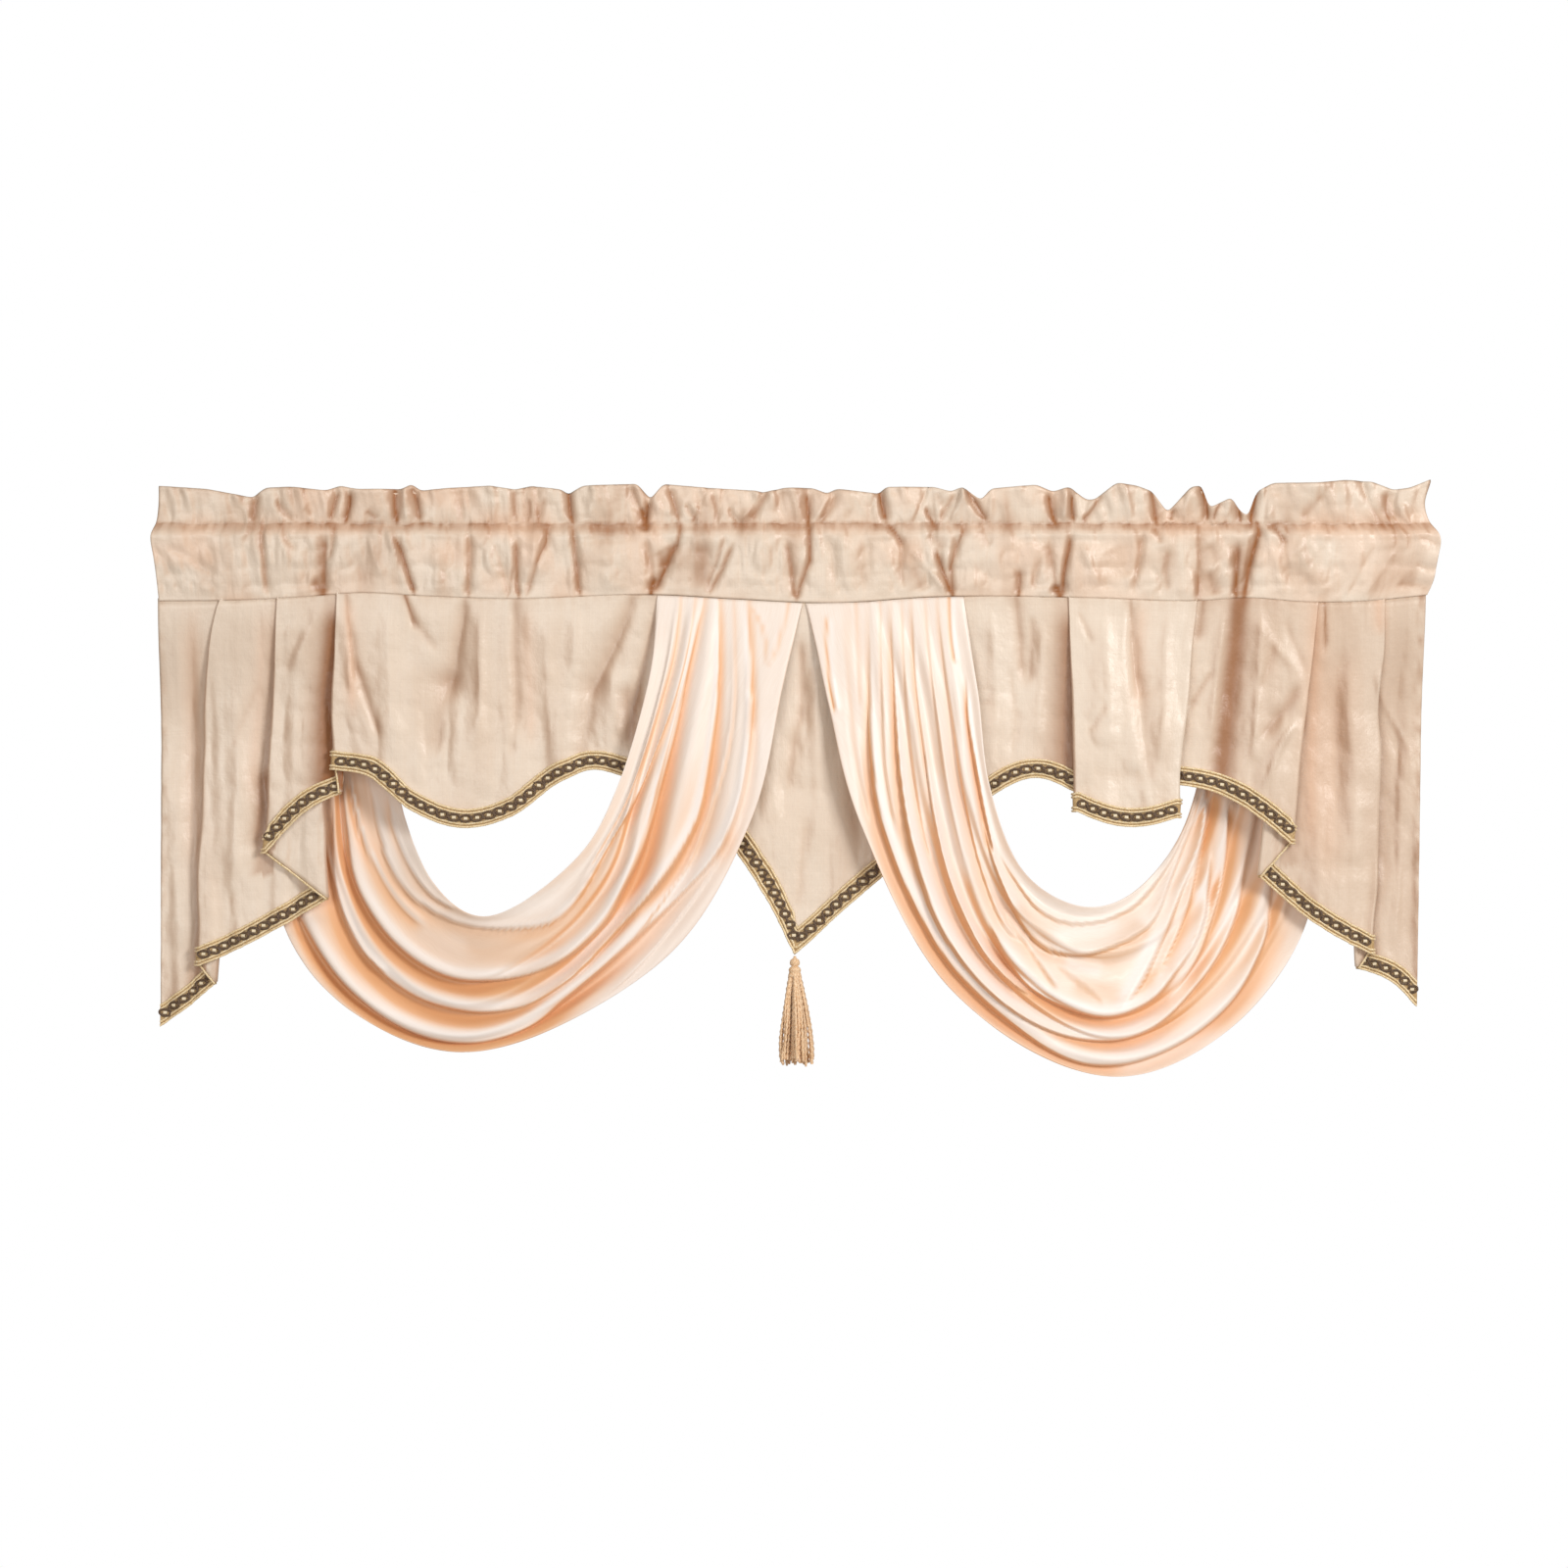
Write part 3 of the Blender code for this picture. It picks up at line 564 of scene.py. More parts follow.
# Shadows that a front layer's folded edge leaves on the cloth behind it: the turn, how wide and how dark.
Shadow = collections.namedtuple("Shadow", "turn behind width dark")
SHADOWS = rows(
    Shadow,
    (2, 5, 7, 0.46), (4, 3, 8, 0.48), (6, 1, 21, 0.88), (8, -1, 25, 0.74), (9, -1, 7, 0.16),
    (11, 1, 8, 0.26), (13, 3, 7, 0.2),
)
RIGHT_SHADE = 0.2
SEAM_PITCH = 1.0
# How far the panel's front stands out at the seam.
SEAM_X = (-652, -180, -150, 175, 200, 652)
SEAM_FORWARD = (6.0, 6.0, 4.4, 4.4, 4.1, 4.0)
# Where the turned side hems begin and are full, from the middle out.
LEFT_SIDE_HEM = (640, 647)
RIGHT_SIDE_HEM = (630, 641)
RIGHT_SHADE_FROM = (395, 445)
# The first hidden edge of the left cascade bows outwards as it falls.
BOW_X = -585
BOW_WIDTH = 14
BOW_OUT = 9
SWAY = 2.4
PANEL_STEP = 2.15
PANEL_ROWS = 54
FOLD_STEPS = 8


def seam_dip(x):
    return through(SEAM_PLACES, SEAM_DIPS, x)


def hem_drop(x):
    left, right = (through(*np.array(side, float).T, x) for side in (HEM_LEFT, HEM_RIGHT))
    return np.where(x < POINT_X, left, right)


def run_columns(k, step):
    start, end = TURNS[k], TURNS[k + 1]
    way = 1 if k % 2 == 0 else -1
    count = max(5, round(abs(end.hem_x - start.hem_x) / step) + 1)
    f = np.linspace(0, 1, count)
    if k == MIDDLE_RUN:
        point = (POINT_X - start.hem_x) / (end.hem_x - start.hem_x)
        f[np.argmin(np.abs(f - point))] = point
    first = 0 if k == 0 else way / 2
    last = 0 if k == len(TURNS) - 2 else -way / 2
    hem_x = start.hem_x + (end.hem_x - start.hem_x) * f
    drop = start.drop + (end.drop - start.drop) * f + start.bow * np.sin(math.pi * f)
    return Columns(
        start.seam_x + (end.seam_x - start.seam_x) * f,
        hem_x,
        hem_drop(hem_x) if k == MIDDLE_RUN else drop,
        np.full(count, float(start.layer)),
        first + (last - first) * f,
    )


def fold_columns(k, steps):
    turn, before = TURNS[k], TURNS[k - 1].layer
    way = 1 if k % 2 == 1 else -1
    angle = np.linspace(0, math.pi, steps + 1)[1:-1]
    return Columns(
        *(np.full(len(angle), float(place)) for place in (turn.seam_x, turn.hem_x, turn.drop)),
        (before + turn.layer) / 2 + (before - turn.layer) / 2 * np.cos(angle),
        way * (np.sin(angle) - 1) / 2,
    )


def panel_columns(step, fold_steps):
    parts = [run_columns(0, step)]
    for k in range(1, len(TURNS) - 1):
        parts += [fold_columns(k, fold_steps), run_columns(k, step)]
    return Columns(*(np.concatenate(values) for values in zip(*parts)))


def on_side_hem(x):
    return np.maximum(eased(x, *RIGHT_SIDE_HEM), eased(-x, *LEFT_SIDE_HEM))


def panel_ripple(x, z, opened):
    """Small folds and crumples that all layers of the panel share, towards the room where negative."""
    gathers = np.abs(rumple(x / 6.0, z / 60, 3)) * 1.6 * np.exp((z + SEAM_DROP) / 16)
    in_cascades = eased(np.abs(x), 440, 470)
    waves = (rumple(x / 26, z / 280, 5) * 2.0 + rumple(x / 15, z / 210, 7) * 2.4 * in_cascades) * opened
    crisp = crumple(x / 46, z / 78, 11) * 1.9 + crumple(x / 19, z / 26, 15) * 0.75
    crisp = crisp + crumple(x / 10, z / 14, 17) * 0.2
    side = on_side_hem(x) * rumple(x / 6, z / 7.5, 19) * 0.8
    started = eased(-z, SEAM_DROP, SEAM_DROP + 22)
    return gathers * 0.6 + waves + crisp * started * (0.4 + 0.6 * opened) + side * (0.2 + 0.8 * opened)


def layer_shade(x, drop, seam, layer, pitch, opened):
    """The shade that the folded edges of the front layers leave on the layers behind."""
    shade = np.zeros(x.shape)
    for shadow in SHADOWS:
        turn = TURNS[shadow.turn]
        way = 1 if shadow.turn % 2 else -1
        start = PANEL_DROP + seam_dip(turn.seam_x)
        edge = turn.seam_x + (turn.hem_x - turn.seam_x) * (drop - start) / (turn.drop - start)
        past = (x - (edge + way * pitch / 2)) * way
        reach = shadow.width * (0.7 + 0.3 * opened)
        near = np.exp(-((np.maximum(past, 0) / reach) ** 2)) * (past > -14) * (drop < turn.drop + 25)
        beyond = (layer >= shadow.behind) & (layer <= shadow.behind + 2.1)
        below = 0.35 + 0.65 * eased(drop - seam, 2, 40)
        shade = screened(shade, shadow.dark * near * beyond * below)
    return shade


def panel_points(columns, share):
    """The points of the panel, with each one's painted shade and painted pink fold shade."""
    seam = PANEL_DROP + seam_dip(columns.seam_x)
    drop = seam + share * (columns.drop - seam)
    opened = eased(drop, seam, seam + OPENS_OVER)
    pitch = SEAM_PITCH + (PITCH_AT_HEM - SEAM_PITCH) * opened
    x = columns.seam_x + (columns.hem_x - columns.seam_x) * share + columns.pull * pitch
    bowed = np.exp(-(((columns.seam_x - BOW_X) / BOW_WIDTH) ** 2)) * (columns.layer > 3.6)
    x -= BOW_OUT * np.sin(math.pi * share ** 0.6) * bowed
    forward = np.interp(x, SEAM_X, SEAM_FORWARD)
    y = columns.layer * pitch - forward * (1 - eased(drop, seam, seam + 0.7 * OPENS_OVER))
    push, shade = fold_field(x, -drop, PANEL_CREASES)
    deep, dark = fold_field(x, -drop, PANEL_SHADED_FOLDS, core_share=0, power=2.4)
    shade = screened(shade, dark)
    free = eased(drop, seam + 3, seam + 14)
    away = eased(drop, seam + 2, seam + 50)
    push = np.where(push > 0, 0.4 + 0.6 * away, away) * push
    y += free * (push + away * deep + panel_ripple(x, -drop, opened))
    shade = screened(shade, layer_shade(x, drop, seam, columns.layer, pitch, opened))
    _, pink_tone_and_shade = fold_field(x, -drop, PANEL_PINK_SHADES, core_share=0)
    mottled = rumple(x / 27, drop / 170, 43) + 0.3 * rumple(x / 11, drop / 60, 44)
    shade = screened(shade, 0.17 * np.maximum(mottled, 0))
    shade = screened(shade, RIGHT_SHADE * eased(x, *RIGHT_SHADE_FROM))
    shade += on_side_hem(x) * (0.10 + 0.22 * rumple(x / 5, drop / 6, 29))
    shade += np.exp(-np.maximum(drop - seam - 2.5, 0) / 7) * (0.10 + 0.16 * rumple(x / 4.5, drop / 30, 33))
    # No folded edge hangs quite straight.
    sway = rumple(x / 75, drop / 60, 45) * SWAY * eased(drop, seam + 4, seam + 50)
    sway = sway * (1 - eased(np.abs(x), 612, 640))
    return np.stack([x + sway, y, -drop], axis=2), np.clip(shade, 0, 0.92), np.clip(pink_tone_and_shade, 0, 1)


def make_panel():
    columns = panel_columns(PANEL_STEP, FOLD_STEPS)
    share = np.linspace(0, 1, PANEL_ROWS)[:, None] ** 0.92 * np.ones(len(columns.drop))
    points, shade, pink_tone_and_shade = panel_points(columns, share)
    shade = screened(shade, slope_shade(points))
    made = cloth("panel_cloth", points, TAFFETA, fields={"shade": shade, "pink_tone_and_shade": pink_tone_and_shade})
    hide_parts("panel")
    return made


# The heading.

# Where the ruffle is gathered: at the stitching, at its edge, and how far the puff to the right stands out.
Gather = collections.namedtuple("Gather", "x edge_x puff")
GATHERS = rows(
    Gather,
    (-652, -652, 3), (-547, -552, 5), (-506, -512, 4), (-470, -467, 3), (-455, -454, 5), (-403, -401, 4),
    (-386, -384, 5), (-330, -333, 5), (-275, -274, 2), (-261, -262, 4), (-224, -229, 7), (-172, -168, 3),
    (-151, -146, 5), (-116, -128, 4), (-104, -88, 4), (-77, -72, 3), (-55, -32, 5), (16, 16, 3),
    (24, 40, 5), (74, 84, 3), (94, 89, 6), (121, 138, 3), (145, 139, 3), (157, 171, 5), (198, 173, 6),
    (266, 265, 4), (283, 288, 2), (295, 300, 7), (369, 379, 5), (419, 420, 5), (452, 452, 2), (472, 466, 4),
    (480, 482, 8), (605, 580, 5), (617, 620, 4), (652, 652, 0),
)
END_PLACES = (-76.0, -64.0, -36.0, -12.0, 4.0, 19.0, 44.0)
END_LEFT = (-4, -3, 0, 3, -2, -4, -4)
END_RIGHT = (-8, -2, 4, 6, -4, -8, -2)
# Folds of the ruffle, and of the pocket's front from the stitching towards the seam.
RUFFLE_CREASES = rows(
    Crease,
    (-548, 30, -552, 2, 5, 4, 0.30), (-527, 23, -510, 3, 3.5, 3, 0.28), (-500, 16, -492, 8, 6, 1, 0.22),
    (-464, 32, -472, 3, 3.5, 3.5, 0.40), (-452, 32, -458, 0, 4, 4.5, 0.62), (-435, 14, -425, 5, 5, 2, 0.30),
    (-406, 38, -405, 0, 4.5, 5, 0.62), (-389, 37, -381, 3, 3.5, 4, 0.44), (-397, 34, -394, 4, 4, -3),
    (-340, 35, -337, 2, 3.5, 2, 0.18), (-305, 25, -307, 5, 5, -2), (-284, 35, -282, 2, 4, 2.5, 0.30),
    (-270, 25, -272, 2, 3.5, 2.5, 0.30), (-254, 25, -262, 2, 3.5, 2, 0.22), (-230, 37, -226, 0, 4, 5, 0.62),
    (-205, 30, -210, 8, 7, -2), (-165, 38, -154, 13, 4, 3, 0.26), (-155, 16, -150, -8, 4.5, 5, 0.62),
    (-148, 22, -153, -4, 4, 4, 0.5), (-140, 18, -125, 12, 4, -2.4), (-127, 35, -117, 4, 4, 3.5, 0.36),
    (-110, 20, -98, 4, 3.5, 3, 0.26), (-98, 18, -106, 0, 3, -2.4), (-82, 30, -77, 3, 3.5, 3, 0.30),
    (-65, 17, -58, 2, 3, 3, 0.28), (-35, 33, -55, 2, 4, -3), (-27, 32, -42, 4, 4, 3, 0.34),
    (-10, 35, -20, 10, 6, 2, 0.16), (13, 30, 14, -4, 4, 4.5, 0.52), (38, 30, 22, 0, 4, -3),
    (43, 30, 28, 0, 4, 3, 0.30), (58, 15, 55, 5, 4, 1.5, 0.14), (87, 35, 95, 4, 4.5, 5, 0.56),
    (125, 20, 115, 0, 4, -2.6), (135, 17, 146, -7, 4, 4, 0.44), (145, 32, 152, 20, 6, 1.5, 0.18),
    (175, 35, 160, 4, 4, -3), (165, 30, 150, 3, 4, 3, 0.30), (176, 35, 198, 3, 4, 4.5, 0.48),
    (202, 30, 200, 5, 4, -2.6), (260, 30, 268, -2, 4, 4.5, 0.56), (277, 35, 276, 4, 4.5, -3.2),
    (284, 30, 286, 2, 3.5, 4.5, 0.60), (315, 30, 295, 2, 4, 3, 0.34), (308, 25, 291, 5, 4, -2.5),
    (340, 35, 345, 10, 9, -2.2), (365, 35, 370, 1, 4.5, 4.5, 0.48), (388, 15, 385, 4, 4, 3, 0.40),
    (405, 35, 395, 7, 6, -3), (416, 38, 422, 4, 4, 5, 0.70), (435, 22, 428, 4, 4, 3, 0.44),
    (446, 27, 440, 8, 4, -2.5), (453, 20, 456, 2, 4, 4, 0.60), (473, 35, 466, -2, 4.5, 5, 0.72),
    (490, 30, 482, 5, 6, -2.5), (542, 30, 520, 5, 7, 2.5, 0.20), (565, 35, 560, 5, 12, -2.6),
    (608, 32, 612, 4, 9, 3.5, 0.30), (630, 20, 625, 5, 5, -2), (642, 35, 638, 5, 5, 1.5, 0.14),
)
POCKET_CREASES = rows(
    Crease,
    (-548, -2, -558, -18, 3.5, 2, 0.14), (-541, -4, -537, -70, 3, 3.6, 0.34), (-527, -10, -513, -40, 4, -2),
    (-520, -5, -508, -25, 3, 2, 0.14), (-477, -13, -480, -80, 7, 5, 0.46, 8, 1),
    (-467, 0, -473, -35, 3, 3, 0.32), (-488, -56, -474, -78, 8, 3, 0.30),
    (-455, -22, -450, -45, 7, 1.5, 0.10), (-435, -10, -418, -55, 5, -2.2),
    (-445, -30, -438, -60, 5, 1, 0.07), (-405, -16, -386, -74, 3.2, 4.8, 0.66),
    (-412, -10, -404, -30, 4, -1.6), (-329, -10, -332, -80, 4, 3.8, 0.34), (-363, -25, -365, -70, 8, -1.6),
    (-318, -15, -305, -55, 7, -2.2), (-305, -20, -292, -65, 4, 1.6, 0.13),
    (-282, -18, -280, -80, 3.5, 4.2, 0.46), (-286, -45, -292, -76, 3, 2, 0.26),
    (-251, -4, -254, -27, 3.2, 3, 0.40), (-254, -23, -272, -73, 3, 2.6, 0.34),
    (-265, -15, -262, -50, 7, -2.2), (-225, 0, -217, -78, 3.5, 4.2, 0.42),
    (-212, -7, -158, -7, 9, 2.6, 0.22), (-190, -30, -185, -68, 12, -2), (-150, -16, -140, -60, 4, 3, 0.26),
    (-120, -20, -141, -67, 5, 4.8, 0.52), (-138, -28, -132, -44, 9, 2, 0.28),
    (-142, -56, -146, -84, 5, 5, 0.66), (-115, 2, -120, -26, 3, 3, 0.42),
    (-90, -20, -92, -62, 11, 2.6, 0.24), (-70, -16, -89, -66, 3, 2.2, 0.28),
    (-62, -22, -86, -71, 3.2, 3.2, 0.40), (-35, -15, -40, -60, 12, -2.2), (-7, -18, 2, -78, 4, 3.6, 0.36),
    (16, 0, 17, -41, 3.2, 4.2, 0.56), (17, -37, 3, -78, 3.5, 3.6, 0.44), (35, -14, 42, -60, 5, 2, 0.13),
    (50, -15, 55, -65, 6, -2), (70, -18, 72, -66, 6, 1.6, 0.11), (95, 2, 111, -21, 3.5, 4.2, 0.50),
    (111, -18, 112, -62, 4, 2.6, 0.26), (116, -24, 156, -70, 3.5, -2.6), (122, -44, 133, -67, 8, 2.2, 0.22),
    (145, -28, 162, -74, 4, 4.2, 0.58), (138, -11, 152, -26, 7, 2, 0.26), (175, -3, 160, -46, 4, 3.6, 0.40),
    (160, -42, 162, -77, 4, 3.2, 0.44), (190, -8, 200, -22, 8, 2, 0.18), (182, -30, 184, -66, 8, -2),
    (230, -46, 228, -80, 4.5, 3.6, 0.48), (252, -33, 245, -66, 3.5, 2.2, 0.22),
    (238, -20, 250, -30, 5, -1.6), (260, -22, 268, -72, 5, 3.6, 0.34), (283, -13, 274, -72, 3.5, 5, 0.68),
    (268, -62, 272, -82, 6, 5, 0.72), (294, -20, 310, -60, 5, -2.6), (330, -24, 341, -52, 18, 2.6, 0.13),
    (356, -10, 346, -68, 4, 3.2, 0.30), (382, -28, 381, -67, 5, 2.6, 0.22), (368, -4, 374, -19, 4, 3, 0.30),
    (413, -4, 412, -80, 8, 2.6, 0.30, 8, -1), (424, -48, 431, -72, 9, 3, 0.30),
    (422, -21, 433, -39, 9, 1.6, 0.22), (436, -30, 424, -56, 3, -1.8), (440, -48, 428, -72, 3, -1.6),
    (452, -20, 450, -80, 6, 5, 0.50), (475, -7, 458, -80, 5, 7, 0.84, 6), (472, 3, 475, -13, 3.5, 4, 0.54),
    (486, 1, 502, -19, 3, 3, 0.38), (500, -14, 507, -62, 4, 2.2, 0.16), (485, -24, 497, -70, 5, -1.8),
    (510, -20, 540, -66, 6, -1.6), (620, -4, 622, -26, 3.5, 1.6, 0.13), (630, -12, 651, -22, 3, 1.6, 0.18),
    (632, -40, 652, -47, 4, 1.5, 0.12), (618, -60, 650, -67, 5, 2.2, 0.20), (590, -22, 570, -70, 4, 1.4),
    (606, -30, 584, -74, 4, -1.4), (-640, -20, -590, -52, 4, 1.3), (-636, -36, -600, -68, 4, -1.2),
    (-648, -26, -628, -70, 4, 1.4, 0.06),
)
HEADING_CREASES = RUFFLE_CREASES + POCKET_CREASES
POCKET_PLACES = (-76.0, -62.0, -48.0, -30.0, -15.0, -11.0, -5.5, 0.0)
POCKET_SHARES = (0.0, 0.28, 0.52, 0.80, 0.96, 1.0, 0.62, 0.08)
POCKET_FRONT = 11.6
# How far the pocket's front stands out at the seam.
FOOT_X = (-652, -592, -580, -534, -522, -473, -460, -180, -150, 175, 198, 274, 284, 406, 416, 532, 546, 600,
          612, 652)
FOOT_OUT = (0.8, 0.9, 2.6, 2.7, 4.6, 4.8, 6.6, 6.5, 7.3, 7.3, 4.9, 4.9, 6.7, 6.7, 4.7, 4.7, 2.7, 2.6,
            0.9, 0.8)
HEADING_STEP = 1.7
POCKET_ROWS = 30
RUFFLE_ROWS = 18
BACK_ROWS = 9
BACK_SPARSER = 3
EDGE_SMOOTH = 7


def puffs_at(x, rise):
    """How far the ruffle's puffs stand out and how much they part, for a rise of 0 at the stitching."""
    total = np.zeros(np.broadcast(x, rise).shape)
    between = np.zeros(total.shape)
    for k in range(len(GATHERS) - 1):
        a, b = GATHERS[k], GATHERS[k + 1]
        low = a.x + (a.edge_x - a.x) * rise
        high = b.x + (b.edge_x - b.x) * rise
        f = (x - low) / np.maximum(high - low, 1)
        inside = (f >= 0) & (f < 1)
        swell = np.sin(math.pi * np.clip(f, 0, 1)) ** 0.55
        total += np.where(inside, swell * a.puff, 0)
        between += np.where(inside, np.maximum(1 - swell, 0) ** 2 * min(1, (a.puff + b.puff) / 9), 0)
    return total, between


def ruffle_top(x):
    """The ruffle's edge over the rod line, with its corners a little rounded."""
    edge = np.array(RUFFLE_EDGE, float)
    smooth = np.hanning(EDGE_SMOOTH + 2)[1:-1]
    top = np.pad(np.interp(x, edge[:, 0], edge[:, 1]), EDGE_SMOOTH // 2, mode="edge")
    return np.convolve(top, smooth / smooth.sum(), mode="valid")


def heading_shade(x, z, bottom, shade, parted):
    """The creases' shade with that of the stitching, of the gathers and of the seam."""
    uneven = 0.8 + 0.35 * rumple(x / 17, z * 0, 35) + 0.35 * rumple(x / 5, z * 0, 36)
    mottled = rumple(x / 24, z / 45, 41) + 0.5 * rumple(x / 9, z / 30, 42)
    shade = screened(shade, 0.50 * np.exp(-(((z + 0.4) / 2.4) ** 2)) * uneven)
    shade = screened(shade, 0.28 * np.exp(-(((z + 3.5) / 4.5) ** 2)) * uneven)
    shade = screened(shade, 0.42 * parted)
    shade = screened(shade, 0.30 * np.maximum(mottled, 0))
    shade += 0.16 * np.exp(-np.abs(z) / 8) * np.maximum(rumple(x / 3.6, z / 30, 31), 0)
    return shade + 0.09 * np.exp(-(((z - bottom) / 1.2) ** 2))


def make_heading():
    x = np.linspace(-HALF_WIDTH, HALF_WIDTH, round(2 * HALF_WIDTH / HEADING_STEP))
    top = ruffle_top(x)
    bottom = -SEAM_DROP - seam_dip(x)
    z = np.concatenate([
        bottom * (1 - np.linspace(0, 1, POCKET_ROWS)[:, None] ** 1.15),
        top * np.linspace(0, 1, RUFFLE_ROWS)[1:, None],
    ])
    over = z > 0
    level = np.where(over, 0, z / np.abs(bottom) * SEAM_DROP)
    rise = np.clip(z / np.maximum(top, 8), 0, 1)
    puff, between = puffs_at(x, rise)
    foot = np.interp(x, FOOT_X, FOOT_OUT)
    share = through(POCKET_PLACES, POCKET_SHARES, level)
    low = np.where(level < -11, foot, 0.0)
    full = low + (POCKET_FRONT - low) * share
    out = np.where(over, STEM_HALF, full)
    # Small gathers fan out from the stitching, up into the ruffle and down over the rod.
    up = rumple(x / 7.5 + z / 30, rise * 0.8, 21) * 2.5 + crumple(x / 24, z / 24, 22) * 1.9
    up = up * rise ** 0.7 * over
    lean = (-puff * 1.1 + rumple(x / 60, rise * 0.4, 28) * 4) * rise ** 0.8
    near_stitch = np.exp(-np.abs(z) / 7) * rumple(x / 3.6, z / 40, 23) * 1.35
    down = rumple(x / 7.0 + z / 40, z / 60, 24) * 2.2 * np.exp(z / 18) * ~over * eased(-z, 1, 9)
    near_seam = rumple(x / 4.6, z / 40, 25) * 0.5 * np.exp(-(z - bottom) / 7) * ~over
    crisp = crumple(x / 30, z / 34, 26) * 2.1 + crumple(x / 12, z / 18, 27) * 0.8
    crisp = crisp * np.where(over, 0, eased(-z, 4, 18) * eased(z - bottom, 2, 14))
    push, shade = fold_field(x, z, HEADING_CREASES)
    crease = push * np.where(over, eased(z, 0, 10), 0.35 + 0.65 * eased(z - bottom, 0, 8))
    front = -out + lean + up + near_stitch + down + near_seam + crisp + crease
    front = np.where(over, front, np.minimum(front, -STEM_HALF - 0.05))
    front = np.where(z - bottom < 4, np.minimum(front, -foot), front)
    back = out + lean + up * 0.8 + near_stitch * 0.5
    back = np.maximum(back, front + np.where(over, 1.0 * (1 - rise) + 0.4, 0))
    back[-1] = front[-1] = (front[-1] + back[-1]) / 2
    shade = heading_shade(x, z, bottom, shade, between * (1.1 - rise) * over)
    # The stitching isn't quite straight.
    z = z + np.exp(-((z / 7) ** 2)) * (rumple(x / 11, z * 0, 38) * 1.1 + rumple(x / 4, z * 0, 39) * 0.5)
    # A pink tone that differs at random, with painted pink shade in the hollow under the stitching.
    pink_tone_and_shade = np.clip(0.5 * rumple(x / 38, z / 30, 37) + 0.25 * np.exp(-np.abs(z + 4) / 8) + 0.1, 0, 1)
    bulge = np.where(x < 0, through(END_PLACES, END_LEFT, z), through(END_PLACES, END_RIGHT, z))
    wide = x * (1 + bulge / HALF_WIDTH * eased(np.abs(x), 500, HALF_WIDTH))
    ruffle_back = np.arange(len(z) - 2, POCKET_ROWS, -BACK_SPARSER)
    keep = np.concatenate([ruffle_back, np.linspace(POCKET_ROWS - 1, 0, BACK_ROWS).astype(int)])
    fore = np.stack([wide, front, z], axis=2)
    rear = np.stack([wide, back, z], axis=2)[keep]
    points = np.concatenate([fore, rear])
    shade = screened(shade, slope_shade(fore))
    quiet = np.minimum(shade[keep], 0.3) * 0.5
    fields = {
        "shade": np.clip(np.concatenate([shade, quiet]), 0, 0.92),
        "pink_tone_and_shade": np.concatenate([pink_tone_and_shade, pink_tone_and_shade[keep]]),
    }
    made = cloth("heading_cloth", points, TAFFETA, fields=fields, wrap_rows=True)
    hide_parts("heading")
    return made


# The swags.

SWAG_STEPS = 320
ROWS_PER_LINE = 12
BASE_DEPTH = 0.5
# How much painted warm shade the slopes that face away from the window light get.
SATIN_GLOW = 0.75
# The same for the slopes that face down.
UNDER_GLOW = 0.7
LEFT_SHAPE = (LEFT_UPPER, LEFT_LOWER, LEFT_LINES, LEFT_SWAG_Y)
RIGHT_SHAPE = (RIGHT_UPPER, RIGHT_LOWER, RIGHT_LINES, RIGHT_SWAG_Y)
